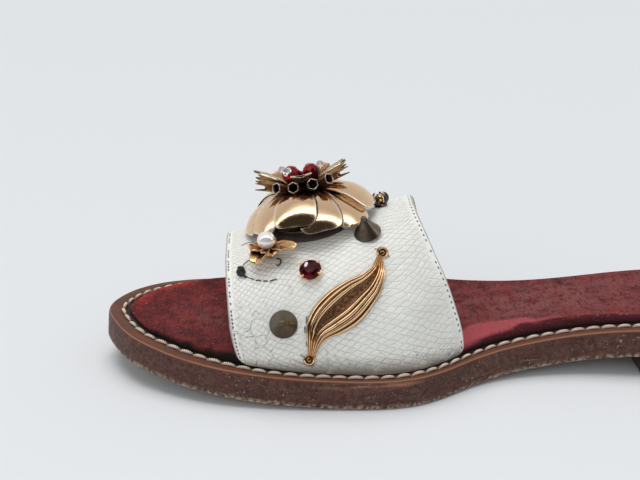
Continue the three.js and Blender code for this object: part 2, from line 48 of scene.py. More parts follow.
CAMERA_PLACE = (-0.06735, -0.42139, 0.19696)
CAMERA_TURN = (math.radians(70.089), 0.0, math.radians(-2.0))
CAMERA_LENS = 69.61
CAMERA_CLIP = 0.01
FLOOR_RADIUS = 6.0
FLOOR_COLOUR = (0.715, 0.733, 0.755, 1.0)
LAMP_STRENGTH = 1.75
LAMP_SPREAD = math.radians(46)
LAMP_TURN = (math.radians(-9), math.radians(-5), 0.0)
LAMP_COLOUR = (1.0, 0.99, 0.975)
FILL_WATTS = 2.6
FILL_SIZE = 0.8
FILL_PLACE = (-0.55, -0.95, 0.42)
ROOM_COLOUR = (0.97, 0.985, 1.0, 1.0)
ROOM_STRENGTH = 0.50
# What is mirrored, by share of the way from the back of the room over its ceiling to its front
ROOM_MIRRORED = ((0.0, (0.80, 0.80, 0.80)), (0.30, (0.66, 0.655, 0.65)), (0.46, (0.60, 0.595, 0.58)),
                 (0.53, (0.95, 0.94, 0.92)), (0.59, (3.2, 3.2, 3.15)), (0.645, (3.2, 3.2, 3.15)),
                 (0.668, (0.22, 0.20, 0.18)), (0.71, (0.045, 0.038, 0.034)), (1.0, (0.040, 0.034, 0.030)))
MIRROR_STRENGTH = 3.4


def deselect_all():
    if bpy.context.mode != "OBJECT":
        bpy.ops.object.mode_set(mode="OBJECT")
    bpy.ops.object.select_all(action="DESELECT")


def new_material(name, **sockets):
    """A material whose Principled shader has its sockets set, such as Base_Color or Roughness."""
    made = bpy.data.materials.new(name)
    made.use_nodes = True
    shader = made.node_tree.nodes["Principled BSDF"]
    for socket, value in sockets.items():
        shader.inputs[socket.replace("_", " ")].default_value = value
    return made


def add_node(material, kind, inputs=None, **settings):
    """A node in a material, world or group: its settings, and inputs set or linked by name or number."""
    tree = getattr(material, "node_tree", material)
    made = tree.nodes.new(kind)
    for setting, value in settings.items():
        setattr(made, setting, value)
    for socket, value in (inputs or {}).items():
        if isinstance(value, bpy.types.NodeSocket):
            tree.links.new(value, made.inputs[socket])
        else:
            made.inputs[socket].default_value = value
    return made


def pale_room():
    """Even soft light from all round, and for reflections the room as polished metal shows it."""
    room = bpy.data.worlds.new("room")
    room.use_nodes = True
    soft = room.node_tree.nodes["Background"]
    soft.inputs["Color"].default_value = ROOM_COLOUR
    soft.inputs["Strength"].default_value = ROOM_STRENGTH
    direction = add_node(room, "ShaderNodeTexCoord").outputs["Generated"]
    way = add_node(room, "ShaderNodeSeparateXYZ", {0: direction})
    over = add_node(room, "ShaderNodeMath", {0: way.outputs["Z"], 1: way.outputs["Y"]}, operation="ARCTAN2")
    share = add_node(room, "ShaderNodeMath", {0: over.outputs[0], 1: math.pi}, operation="DIVIDE")
    ramp = add_node(room, "ShaderNodeValToRGB", {0: share.outputs[0]})
    stops = ramp.color_ramp.elements
    while len(stops) < len(ROOM_MIRRORED):
        stops.new(1.0)
    for stop, (place, colour) in zip(stops, ROOM_MIRRORED):
        stop.position = place
        stop.color = (*(channel / MIRROR_STRENGTH for channel in colour), 1.0)
    mirrored = add_node(room, "ShaderNodeBackground",
                        {"Color": ramp.outputs[0], "Strength": MIRROR_STRENGTH})
    ray = add_node(room, "ShaderNodeLightPath").outputs["Is Glossy Ray"]
    both = add_node(room, "ShaderNodeMixShader", {0: ray, 1: soft.outputs[0], 2: mirrored.outputs[0]})
    room.node_tree.links.new(both.outputs[0], room.node_tree.nodes["World Output"].inputs["Surface"])
    return room


def add_object(name, data):
    made = bpy.data.objects.new(name, data)
    bpy.context.scene.collection.objects.link(made)
    return made


camera = add_object("camera", bpy.data.cameras.new("camera"))
camera.location = CAMERA_PLACE
camera.rotation_euler = CAMERA_TURN
camera.data.lens = CAMERA_LENS
camera.data.clip_start = CAMERA_CLIP
bpy.context.scene.camera = camera
bpy.context.scene.view_settings.view_transform = "Standard"
bpy.context.scene.world = pale_room()

deselect_all()
bpy.ops.mesh.primitive_circle_add(vertices=64, radius=FLOOR_RADIUS, fill_type="NGON")
floor = bpy.context.object
floor.name = "floor"
floor.data.materials.append(new_material("floor_paper", Base_Color=FLOOR_COLOUR, Roughness=1.0,
                                         Specular_IOR_Level=0.0))

lamp = add_object("overhead", bpy.data.lights.new("overhead", "SUN"))
lamp.data.energy = LAMP_STRENGTH
lamp.data.angle = LAMP_SPREAD
lamp.data.color = LAMP_COLOUR
lamp.rotation_euler = LAMP_TURN
lamp.visible_glossy = False

fill = add_object("front_fill", bpy.data.lights.new("front_fill", "AREA"))
fill.data.energy = FILL_WATTS
fill.data.size = FILL_SIZE
fill.location = FILL_PLACE
fill.rotation_euler = (-Vector(FILL_PLACE)).to_track_quat("-Z", "Y").to_euler()
fill.visible_glossy = False

# Outsole
# A board of brown sole leather, cut to the foot's outline, its side burnished dark, its top edge
# dyed orange-brown and its foot scuffed pale. A channel in the ledge takes the welt stitch.

MM = 0.001
SOLE_THICKNESS = 10.5 * MM
RIM_INSET = 0.9 * MM  # the CAD sole's top face starts this far inside its edge
FINE = 6  # ring points for each point of the CAD sole
# The sole's side, in millimetres: how far inside its edge and over its foot, then under its top
SOLE_SIDE = ((2.0, 0.0), (0.5, 0.03), (-0.25, 0.25), (-0.62, 0.6), (-0.76, 1.1), (-0.70, 2.2), (-0.55, 4.0),
             (-0.40, 6.0), (-0.22, 8.0), (-0.08, 9.1))
SOLE_BROW = ((0.06, -0.75), (0.26, -0.34), (0.60, -0.08), (1.00, 0.0))
SOLE_FOOT_INSET = 2.0 * MM
SOLE_TOP_INSET = 8.0 * MM
CHANNEL_DEPTH = 0.5 * MM
CHANNEL_HALF = 1.0 * MM
CHANNEL = ((-1.0, 0.0), (-0.6, -0.6), (0.0, -1.0), (0.6, -0.6), (1.0, 0.0))  # shares across and down
# The welt stitch from the sole's edge: at the toe tip, past the ball and under the arch
STITCH_INSET = {"toe": 5.3 * MM, "ball": 2.7 * MM, "arch": 3.6 * MM}
RUBBED_BALL = (66, 84, 100, 116)  # where the sole's side is rubbed, in millimetres from the toe
SOLE_BROWN = (0.088, 0.035, 0.026, 1.0)
SOLE_LIGHT = (0.128, 0.058, 0.042, 1.0)
SOLE_DARK = (0.046, 0.021, 0.018, 1.0)
SOLE_DUST = (0.185, 0.100, 0.075, 1.0)
SCRATCH_TAN = (0.26, 0.16, 0.10, 1.0)
FLECK_PALE = (0.42, 0.31, 0.25, 1.0)
LEDGE_BROWN = (0.128, 0.046, 0.025, 1.0)
LEDGE_DARK = (0.090, 0.042, 0.030, 1.0)
EDGE_ORANGE = (0.52, 0.245, 0.140, 1.0)
SCUFF_TAN = (0.50, 0.41, 0.30, 1.0)
# Black of dirt and of painted shade, on the sole's ledge and on the footbed
SOIL_AND_SHADE_BLACK = (0.012, 0.009, 0.008, 1.0)


def sole_rim():
    """Points round the top face of the CAD sole, from the toe tip along the outer side."""
    shell = bmesh.new()
    shell.from_mesh(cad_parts["outsole"].data)
    bmesh.ops.remove_doubles(shell, verts=shell.verts, dist=0.01 * MM)
    shell.normal_update()
    top = {face for face in shell.faces if face.normal.z > 0.85}
    links = {}
    for edge in shell.edges:
        if sum(face in top for face in edge.link_faces) == 1:
            a, b = edge.verts
            links.setdefault(a, []).append(b)
            links.setdefault(b, []).append(a)
    tip = min(links, key=lambda vert: vert.co.x)
    loop = [tip, max(links[tip], key=lambda vert: vert.co.y)]
    while len(loop) < len(links):
        loop.append(next(vert for vert in links[loop[-1]] if vert is not loop[-2]))
    points = np.array([vert.co for vert in loop])
    shell.free()
    return points


def between(a, b, c, d, t):
    """A smooth line's place a share of the way from b to c, where a and d are its points beside them."""
    return 0.5 * (2 * b + (c - a) * t + (2 * a - 5 * b + 4 * c - d) * t ** 2
                  + (3 * b - a - 3 * c + d) * t ** 3)


def closed_spline(points, steps):
    """A smooth closed line through the points, with steps places for each of them."""
    beside = [np.roll(points, shift, 0) for shift in (1, 0, -1, -2)]
    rows = [between(*beside, t) for t in np.arange(steps) / steps]
    return np.stack(rows, 1).reshape(-1, points.shape[1])


rim = closed_spline(sole_rim(), FINE)
RING = len(rim)
rim_way = np.roll(rim, -1, 0)[:, :2] - np.roll(rim, 1, 0)[:, :2]
rim_way /= np.linalg.norm(rim_way, axis=1, keepdims=True)
rim_inward = np.stack([rim_way[:, 1], -rim_way[:, 0]], 1)
SOLE_TOE = rim[:, 0].min() - RIM_INSET
across_the_sole = (-np.arange(RING)) % RING  # the ring point on the other side of the foot


def along_sole(x):
    return x - SOLE_TOE


def smooth_step(low, high, value):
    t = np.clip((value - low) / (high - low), 0.0, 1.0)
    return t * t * (3.0 - 2.0 * t)


def stretch_of(value, start, full, still_full, end):
    """1 from one place to another, fading to 0 before and after them; the places are in millimetres."""
    return smooth_step(start * MM, full * MM, value) * (1 - smooth_step(still_full * MM, end * MM, value))


def sole_edge(inset):
    """Plan of the sole's edge moved inwards, one point for each ring point."""
    return rim[:, :2] + rim_inward * (np.reshape(inset, (-1, 1)) - RIM_INSET)


def sole_top(x):
    half = rim[:RING // 2 + 1]
    return np.interp(x, half[:, 0], half[:, 2])


def stitch_inset(x):
    s = along_sole(x)
    ball = smooth_step(22 * MM, 66 * MM, s)
    arch = smooth_step(122 * MM, 142 * MM, s)
    inset = STITCH_INSET["toe"] + (STITCH_INSET["ball"] - STITCH_INSET["toe"]) * ball
    return inset + (STITCH_INSET["arch"] - STITCH_INSET["ball"]) * arch


def close_mesh(merge, fill):
    """In the active piece: merges its seams, fills its open ends if asked, and turns its faces outwards."""
    bpy.ops.object.mode_set(mode="EDIT")
    bpy.ops.mesh.select_all(action="SELECT")
    bpy.ops.mesh.remove_doubles(threshold=merge)
    if fill:
        bpy.ops.mesh.fill_holes(sides=0)
        bpy.ops.mesh.select_all(action="SELECT")
    bpy.ops.mesh.normals_make_consistent(inside=False)
    bpy.ops.object.mode_set(mode="OBJECT")


def points_of(piece):
    flat = np.zeros(len(piece.data.vertices) * 3)
    piece.data.vertices.foreach_get("co", flat)
    return flat.reshape(-1, 3)


def grid_piece(name, columns, rows, place, merge=None, fill=False):
    """A grid whose points go where place(u, v) puts them; merge closes its seams, and fill its ends too."""
    deselect_all()
    bpy.ops.mesh.primitive_grid_add(x_subdivisions=columns, y_subdivisions=rows, size=2.0)
    piece = bpy.context.object
    piece.name = name
    flat = points_of(piece)
    spots = place((flat[:, 0] + 1) / 2, (flat[:, 1] + 1) / 2)
    piece.data.vertices.foreach_set("co", np.ascontiguousarray(spots, dtype=np.float32).ravel())
    piece.data.update()
    if merge:
        close_mesh(merge, fill)
    return piece


def mark(piece, name, values):
    """A value on each point that the piece's material reads by name."""
    layer = piece.data.attributes.new(name, "FLOAT", "POINT")
    layer.data.foreach_set("value", np.ascontiguousarray(values, dtype=np.float32))


def select_only(piece):
    deselect_all()
    piece.select_set(True)
    bpy.context.view_layer.objects.active = piece


def smooth(piece, degrees):
    select_only(piece)
    bpy.ops.object.shade_smooth_by_angle(angle=math.radians(degrees))


def seat_on_root(piece, material, slot, *nodes):
    """Gives a finished piece its material, its body and the nodes it stands for; the slot argument is not
    used.
    """
    piece.data.materials.clear()
    piece.data.materials.append(material)
    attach(piece, "root")
    if nodes:
        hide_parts(*nodes)


def ring_loft(name, profile, merge=0.02 * MM):
    """A solid of rings: each row of the profile gives its plan, by inset or by share of the way across
    the foot, and its heights."""
    rings = np.stack([row() for row in profile])

    def place(u, v):
        column = np.rint(u * RING).astype(int) % RING
        row = np.rint(v * (len(profile) - 1)).astype(int)
        return rings[row, column]

    return grid_piece(name, RING, len(profile) - 1, place, merge)


def sole_row(inset, height, from_top):
    """One ring of the sole at an inset from its edge, at a height over its foot or its top."""
    def row():
        plan = sole_edge(inset(rim[:, 0]) if callable(inset) else inset)
        level = sole_top(plan[:, 0]) - (0.0 if from_top else SOLE_THICKNESS)
        return np.column_stack([plan, level + height])
    return row


def sole_cap(share, inset, from_top):
    """One ring of the sole's flat faces, a share of the way to the other side of the foot."""
    def row():
        plan = sole_edge(inset)
        plan = plan + share * (plan[across_the_sole] - plan)
        return np.column_stack([plan, sole_top(plan[:, 0]) - (0.0 if from_top else SOLE_THICKNESS)])
    return row


def in_channel(step):
    return lambda x: stitch_inset(x) + step * CHANNEL_HALF


# Rows of the sole from the middle of its foot, out round its side, to the middle of its top
outsole = ring_loft("sole_board", [
    *(sole_cap(share, SOLE_FOOT_INSET, False) for share in (0.5, 0.4, 0.3, 0.2, 0.1)),
    *(sole_row(inset * MM, height * MM, False) for inset, height in SOLE_SIDE),
    *(sole_row(inset * MM, height * MM, True) for inset, height in SOLE_BROW),
    *(sole_row(in_channel(across), down * CHANNEL_DEPTH, True) for across, down in CHANNEL),
    sole_row(SOLE_TOP_INSET, 0.0, True),
    *(sole_cap(share, SOLE_TOP_INSET, True) for share in (0.15, 0.32, 0.5)),
])
smooth(outsole, 40)


def edge_distance(points):
    """How far each point lies inside the sole's edge, in plan."""
    edge = sole_edge(0.0)
    nearest = np.full(len(points), 1.0)
    for share in (0.0, 0.33, 0.67):
        for x, y in edge + share * (np.roll(edge, -1, 0) - edge):
            nearest = np.minimum(nearest, np.hypot(points[:, 0] - x, points[:, 1] - y))
    return nearest


def mark_sole(piece):
    """Marks where the sole is scuffed at its foot, dyed at its top edge and flat on its ledge, and where
    painted shade and dirt blacken the ledge inside the stitch.
    """
    points = points_of(piece)
    over_foot = points[:, 2] - sole_top(points[:, 0]) + SOLE_THICKNESS
    inside = edge_distance(points)
    mark(piece, "foot", 1 - smooth_step(0.2 * MM, 2.2 * MM, over_foot))
    mark(piece, "below_top", (SOLE_THICKNESS - over_foot) / MM)
    brow = smooth_step(9.75 * MM, 10.15 * MM, over_foot)
    mark(piece, "brow", brow * (1 - smooth_step(0.16 * MM, 0.36 * MM, inside)))
    mark(piece, "ball", stretch_of(along_sole(points[:, 0]), *RUBBED_BALL) * (points[:, 1] < 0))
    mark(piece, "ledge", smooth_step(10.0 * MM, 10.4 * MM, over_foot + CHANNEL_DEPTH))
    stitch = stitch_inset(points[:, 0])
    # Black on the ledge from just inside the stitch to the footbed: painted shade in the gap between them,
    # with dirt
    mark(piece, "soil_and_shade", smooth_step(0.3 * MM, 1.1 * MM, inside - stitch))


def object_place(material):
    return add_node(material, "ShaderNodeTexCoord").outputs["Object"]


def marked(material, name):
    return add_node(material, "ShaderNodeAttribute", attribute_name=name).outputs["Fac"]


def blend(material, factor, first, second):
    """Mixes two colours, given as values or sockets."""
    mixer = add_node(material, "ShaderNodeMix", {0: factor, 6: first, 7: second}, data_type="RGBA")
    return mixer.outputs[2]


def calculate(material, operation, first, second=0.5, third=0.0):
    inputs = {0: first, 1: second, 2: third}
    return add_node(material, "ShaderNodeMath", inputs, operation=operation).outputs[0]


def product(material, first, second):
    return calculate(material, "MULTIPLY", first, second)


def spread(material, value, low, high, to_low=0.0, to_high=1.0):
    """A value between low and high, spread out to new limits and held there."""
    inputs = {"Value": value, "From Min": low, "From Max": high, "To Min": to_low, "To Max": to_high}
    return add_node(material, "ShaderNodeMapRange", inputs).outputs[0]


def stretched(material, vector, scale, turn=(0.0, 0.0, 0.0)):
    """Coordinates drawn out along some axes, for streaks and brushed marks."""
    inputs = {"Vector": vector, "Rotation": turn, "Scale": scale}
    return add_node(material, "ShaderNodeMapping", inputs).outputs[0]


def set_shader(material, **sockets):
    """Links sockets to the material's Principled shader, such as Base_Color=colour."""
    shader = material.node_tree.nodes["Principled BSDF"]
    for socket, source in sockets.items():
        material.node_tree.links.new(source, shader.inputs[socket.replace("_", " ")])


def mottle_group():
    """Cloudy patches: a noise whose values between Low and High become a mask from 0 to 1."""
    group = bpy.data.node_groups.new("mottle", "ShaderNodeTree")
    for name, kind, value in (("Vector", "NodeSocketVector", None), ("Scale", "NodeSocketFloat", 200.0),
                              ("Detail", "NodeSocketFloat", 4.0), ("Low", "NodeSocketFloat", 0.4),
                              ("High", "NodeSocketFloat", 0.6)):
        socket = group.interface.new_socket(name=name, in_out="INPUT", socket_type=kind)
        if value is not None:
            socket.default_value = value
    group.interface.new_socket(name="Mask", in_out="OUTPUT", socket_type="NodeSocketFloat")
    inlet = add_node(group, "NodeGroupInput").outputs
    noise = add_node(group, "ShaderNodeTexNoise",
                     {"Vector": inlet["Vector"], "Scale": inlet["Scale"], "Detail": inlet["Detail"]})
    mask = spread(group, noise.outputs["Fac"], inlet["Low"], inlet["High"])
    add_node(group, "NodeGroupOutput", {"Mask": mask})
    return group


mottle = mottle_group()


def patches(material, vector, scale, low, high, detail=4.0):
    inputs = {"Vector": vector, "Scale": scale, "Detail": detail, "Low": low, "High": high}
    return add_node(material, "ShaderNodeGroup", inputs, node_tree=mottle).outputs["Mask"]


def bump(material, height, distance, strength=1.0, onto=None):
    inputs = {"Height": height, "Distance": distance, "Strength": strength}
    if onto is not None:
        inputs["Normal"] = onto
    return add_node(material, "ShaderNodeBump", inputs).outputs["Normal"]


def sole_leather():
    made = new_material("sole_leather", Specular_IOR_Level=0.25)
    place = object_place(made)
    streaks = stretched(made, place, (0.12, 0.12, 1.0))
    colour = blend(made, patches(made, place, 90, 0.35, 0.7), SOLE_BROWN, SOLE_LIGHT)
    colour = blend(made, patches(made, place, 620, 0.40, 0.66, 5.0), colour, SOLE_DARK)
    colour = blend(made, patches(made, streaks, 900, 0.52, 0.72), colour, SOLE_DARK)
    dust = product(made, patches(made, place, 1900, 0.54, 0.68, 3.0), 0.55)
    colour = blend(made, dust, colour, SOLE_DUST)
    flecks = patches(made, place, 1300, 0.672, 0.70, 2.0)
    colour = blend(made, product(made, flecks, patches(made, place, 120, 0.38, 0.62)), colour, FLECK_PALE)
    rubbed = product(made, marked(made, "ball"), patches(made, streaks, 420, 0.50, 0.62))
    high = product(made, spread(made, marked(made, "below_top"), 3.4, 1.2), 0.7)
    colour = blend(made, product(made, rubbed, high), colour, EDGE_ORANGE)
    scratch = patches(made, stretched(made, place, (0.05, 0.05, 1.6)), 1100, 0.70, 0.74, 1.0)
    colour = blend(made, product(made, scratch, patches(made, place, 60, 0.5, 0.65)), colour, SCRATCH_TAN)
    frayed = product(made, marked(made, "foot"), patches(made, place, 700, 0.42, 0.60, 6.0))
    colour = blend(made, frayed, colour, SCUFF_TAN)
    top = blend(made, patches(made, place, 140, 0.35, 0.7), LEDGE_BROWN, LEDGE_DARK)
    colour = blend(made, marked(made, "ledge"), colour, top)
    # Painted shade, with dirt, blackens the ledge inside the stitch.
    colour = blend(made, product(made, marked(made, "soil_and_shade"), marked(made, "ledge")), colour, SOIL_AND_SHADE_BLACK)
    worn = product(made, marked(made, "brow"), patches(made, place, 170, 0.05, 0.42))
    colour = blend(made, worn, colour, EDGE_ORANGE)
    grain = bump(made, patches(made, place, 1300, 0.2, 0.8, 6.0), 0.00012, 0.6)
    rough = spread(made, patches(made, place, 240, 0.2, 0.8), 0.0, 1.0, 0.42, 0.68)
    set_shader(made, Base_Color=colour, Roughness=rough, Normal=grain)
    return made


mark_sole(outsole)
seat_on_root(outsole, sole_leather(), "sole_leather", "outsole")

# Heel
# A low block of stacked leather lifts, glued and nailed under the seat and burnished as the sole is.

HEEL_BEVEL = 0.6 * MM
LIFT_THICKNESS = 4.0 * MM
JOINT_WIDTH = 0.2 * MM
HEEL_BROWN = (0.060, 0.031, 0.023, 1.0)
HEEL_LIGHT = (0.095, 0.050, 0.036, 1.0)
HEEL_FLECK = (0.24, 0.17, 0.12, 1.0)
JOINT_BLACK = (0.02, 0.012, 0.010, 1.0)


def round_edges(piece, width, segments, degrees):
    """Rounds those edges of the active piece that turn by more than an angle."""
    rounded = piece.modifiers.new("rounded_edges", "BEVEL")
    rounded.width = width
    rounded.segments = segments
    rounded.limit_method = "ANGLE"
    rounded.angle_limit = math.radians(degrees)
    bpy.ops.object.modifier_apply(modifier=rounded.name)


heel = add_object("heel_block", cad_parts["heel"].data.copy())
select_only(heel)
bpy.ops.object.mode_set(mode="EDIT")
bpy.ops.mesh.select_all(action="SELECT")
bpy.ops.mesh.remove_doubles(threshold=0.01 * MM)
bpy.ops.mesh.dissolve_limited(angle_limit=math.radians(0.5))
bpy.ops.object.mode_set(mode="OBJECT")
round_edges(heel, HEEL_BEVEL, 3, 50)
smooth(heel, 40)


def heel_leather():
    made = new_material("heel_leather", Roughness=0.5, Specular_IOR_Level=0.25)
    place = object_place(made)
    height = add_node(made, "ShaderNodeSeparateXYZ", {0: place}).outputs["Z"]
    joint = spread(made, calculate(made, "PINGPONG", height, LIFT_THICKNESS), 0.0, JOINT_WIDTH)
    colour = blend(made, patches(made, place, 120, 0.35, 0.7), HEEL_BROWN, HEEL_LIGHT)
    colour = blend(made, patches(made, place, 1500, 0.66, 0.74, 2.0), colour, HEEL_FLECK)
    colour = blend(made, joint, JOINT_BLACK, colour)
    grain = bump(made, patches(made, place, 1300, 0.2, 0.8, 6.0), 0.00012, 0.5)
    set_shader(made, Base_Color=colour, Normal=bump(made, joint, 0.0002, 0.7, grain))
    return made


seat_on_root(heel, heel_leather(), "heel_leather", "heel")

# Welt stitch
# One cream cord of two twisted plies, sewn by hand through the ledge: each stitch rises from its hole,
# lies a little skew in the channel and dives into the next hole.

STITCH_PITCH = 5.5 * MM
STITCH_SHARE = 0.99  # a stitch's length, hole to hole, over the pitch
STITCH_SKEW = 0.26 * MM
STITCH_ARCH = 0.38 * MM  # the cord's middle over the ledge
STITCH_DIVE = 0.42 * MM
PLY_RADIUS = 0.37 * MM
PLY_SPREAD = 0.26 * MM
PLY_TURNS = 3.6
STITCH_SWAY = 0.03
STITCH_SIZES = (0.94, 1.06)
THREAD_CREAM = (0.84, 0.69, 0.585, 1.0)
# Darker cord between the plies and where it dives into its holes: painted shade, with soiling
THREAD_SOIL_AND_SHADE = (0.30, 0.215, 0.160, 1.0)
THREAD_GRUBBY = (0.42, 0.31, 0.23, 1.0)


def twisted_ply(phase):
    """One ply of a stitch, along +X, with +Y out of the shoe and the ledge at z = 0."""
    def place(u, v):
        rise = np.sin(np.pi * u)
        taper = rise ** 0.28
        twist = phase + 2 * np.pi * PLY_TURNS * u
        round_ply = 2 * np.pi * v
        middle_y = STITCH_SKEW * (2 * u - 1) + PLY_SPREAD * taper * np.cos(twist)
        bow = rise ** 0.4
        middle_z = STITCH_ARCH * bow - STITCH_DIVE * (1 - bow) + PLY_SPREAD * taper * np.sin(twist)
        return np.column_stack([(u - 0.5) * STITCH_PITCH * STITCH_SHARE,
                                middle_y + PLY_RADIUS * taper * np.cos(round_ply),
                                middle_z + PLY_RADIUS * taper * np.sin(round_ply)])
    return grid_piece("ply", 24, 8, place, 0.01 * MM)


def join(name, pieces):
    """Pieces joined into one object."""
    deselect_all()
    for piece in pieces:
        piece.select_set(True)
    bpy.context.view_layer.objects.active = pieces[0]
    bpy.ops.object.join()
    pieces[0].name = name
    return pieces[0]


def copies(name, model, places):
    """One mesh of many copies of a model, each at a 4x4 matrix, with the model's marks; the model goes."""
    points = points_of(model)
    count = len(points)
    faces = [np.array(face.vertices) for face in model.data.polygons]
    placed = [points @ np.array(place)[:3, :3].T + np.array(place)[:3, 3] for place in places]
    all_faces = [(face + step * count).tolist() for step in range(len(places)) for face in faces]
    mesh = bpy.data.meshes.new(name)
    mesh.from_pydata(np.concatenate(placed).tolist(), [], all_faces)
    made = add_object(name, mesh)
    for layer in model.data.attributes:
        if layer.data_type == "FLOAT" and layer.domain == "POINT":
            values = np.zeros(count)
            layer.data.foreach_get("value", values)
            mark(made, layer.name, np.tile(values, len(places)))
    bpy.data.objects.remove(model)
    return made


def evenly(points, pitch):
    """Places at an even pitch on a closed line, with the line's direction there."""
    loop = np.vstack([points, points[:1]])
    lengths = np.concatenate([[0], np.cumsum(np.linalg.norm(np.diff(loop, axis=0), axis=1))])
    count = int(round(lengths[-1] / pitch))
    stops = (np.arange(count) + 0.5) * lengths[-1] / count
    at = [np.column_stack([np.interp(stops + step, lengths, loop[:, axis]) for axis in range(3)])
          for step in (-pitch / 4, 0.0, pitch / 4)]
    return at[1], at[2] - at[0]


def stitch_places():
    draw = np.random.default_rng(7)
    plan = sole_edge(stitch_inset(rim[:, 0]))
    spots, ways = evenly(np.column_stack([plan, sole_top(plan[:, 0])]), STITCH_PITCH)
    places = []
    for spot, way in zip(spots, ways):
        forward = Vector(way).normalized()
        outward = Vector((-way[1], way[0], 0.0)).normalized()
        upward = forward.cross(outward)
        place = Matrix((forward, outward, upward)).transposed().to_4x4()
        place.translation = Vector(spot)
        sway = Matrix.Rotation(draw.normal(0.0, STITCH_SWAY), 4, "Z")
        size = Matrix.Scale(draw.uniform(*STITCH_SIZES), 4)
        places.append(place @ (sway @ size))
    return places


stitch = join("stitch", [twisted_ply(0.0), twisted_ply(np.pi)])
stitch_points = points_of(stitch)
stitch_reach = np.abs(stitch_points[:, 0]) / (0.5 * STITCH_PITCH * STITCH_SHARE)
stitch_middle = STITCH_ARCH * np.sqrt(np.cos(np.pi / 2 * np.clip(stitch_reach, 0, 1)))
off_middle = np.hypot(stitch_points[:, 1] - STITCH_SKEW * stitch_points[:, 0] / (0.5 * STITCH_PITCH),
                      stitch_points[:, 2] - stitch_middle)
proud = smooth_step(0.20 * MM, 0.58 * MM, off_middle)
mark(stitch, "crest", proud * (1 - smooth_step(0.80, 1.0, stitch_reach)))
welt_stitch = copies("welt_stitch", stitch, stitch_places())
smooth(welt_stitch, 60)


def waxed_thread():
    made = new_material("waxed_thread", Roughness=0.75, Specular_IOR_Level=0.2)
    place = object_place(made)
    # Painted shade, with soiling, darkens the cord away from the plies' crests.
    colour = blend(made, marked(made, "crest"), THREAD_SOIL_AND_SHADE, THREAD_CREAM)
    soiled = patches(made, place, 220, 0.50, 0.75)
    colour = blend(made, product(made, soiled, 0.35), colour, THREAD_GRUBBY)
    fibres = patches(made, place, 5200, 0.25, 0.75, 3.0)
    set_shader(made, Base_Color=colour, Normal=bump(made, fibres, 0.00005, 0.6))
    return made


seat_on_root(welt_stitch, waxed_thread(), "scale_leather")

# Footbed
# A thin shaped board covered in red suede, set inside the welt stitch. Its nap is worn grey under the
# ball and black along the near edge, and stays clean red on the flank of the arch. Painted shade darkens it
# low on its walls and by the strap, and painted light brightens its toe.

FOOTBED_TOE = 1.3 * MM
FOOTBED_BODY = 3.0 * MM
ARCH = {"along": 158 * MM, "reach": 48 * MM, "rise": 2.2 * MM, "width": 20 * MM}
LEDGE = {"toe": 7.5 * MM, "ball": 4.8 * MM, "heel": 6.0 * MM}
FOOTBED_FLOOR = 0.1 * MM  # its underside over the sole's top
# The footbed's wall: how far inside the ledge in millimetres, and the share of the way up
FOOTBED_WALL = ((0.10, 0.0), (0.0, 0.30), (0.05, 0.62), (0.30, 0.86), (0.80, 0.97), (1.60, 1.0))
FOOTBED_TOP_INSET = 1.60 * MM
POCKET_INSET = 7.0 * MM  # the footbed stands back here, inside the strap's walls
POCKET = (52, 56, 118, 122)  # from the toe, in millimetres, as in the stretches and ovals that follow
TOE_PRINTS = ((25, -14), (24, -1), (29, 10), (36, 20))
TOE_HALVES = (7, 6)
TOE_DEPTH = 0.35 * MM
BALL_HOLLOW = (82, 0, 26, 20)
BALL_DEPTH = 0.5 * MM
CLEAN_FLANK = (124, 128, 190, 215)
UNDER_STRAP = (36, 58, 96, 112)
LIT_TOE = (6, 14, 24, 32)
DARK_SPOT = (134.7, 27, 1.3, 1.6)
GREY_BALL = (50, -6, 20, 16)
GREY_TREAD = (165, 6, 60, 22)
SUEDE_RED = (0.178, 0.026, 0.027, 1.0)
SUEDE_DARK = (0.052, 0.012, 0.013, 1.0)
SUEDE_GREY = (0.200, 0.071, 0.069, 1.0)
SUEDE_CLEAN = (0.385, 0.076, 0.089, 1.0)
# Painted light on the suede at the toe
SUEDE_LIT = (0.42, 0.035, 0.030, 1.0)
# Painted shade on the suede, by the strap and low on its walls
SUEDE_SHADE = (0.048, 0.013, 0.017, 1.0)
SUEDE_SHEEN = (0.9, 0.55, 0.55, 1.0)
LINT_PINK = (0.45, 0.28, 0.27, 1.0)
# Behind the strap, by distance from the toe: how far up its wall the footbed is darkened by painted shade,
# and the width on top that stays clean
FLANK = ((124, 0.45, 11), (128, 0.55, 13.7), (131, 0.64, 15), (135, 0.72, 14.4), (140, 0.80, 11.8),
         (145, 0.87, 10.5), (150, 0.98, 8), (156, 0.96, 4), (161, 0.92, 1.6), (175, 0.92, 0.9),
         (215, 0.85, 0.5))


def side_y(side, x, inset):
    """Where the sole's edge, moved inwards, lies across the foot: side 1 is the outer, -1 the inner."""
    plan = sole_edge(inset)
    half = plan[:RING // 2 + 1] if side > 0 else np.vstack([plan[RING // 2:], plan[:1]])[::-1]
    return np.interp(x, half[:, 0], half[:, 1])


def ledge_width(x):
    s = along_sole(x)
    width = LEDGE["toe"] + (LEDGE["ball"] - LEDGE["toe"]) * smooth_step(15 * MM, 62 * MM, s)
    width = width + (LEDGE["heel"] - LEDGE["ball"]) * smooth_step(115 * MM, 140 * MM, s)
    return width + (POCKET_INSET - width) * stretch_of(s, *POCKET)


def blot(along, across, middle_along, middle_across, half_along, half_across):
    """1 in the middle of a soft oval and fading to 0 round it; the oval is given in millimetres."""
    return np.exp(-(((along - middle_along * MM) / (half_along * MM)) ** 2
                    + ((across - middle_across * MM) / (half_across * MM)) ** 2))


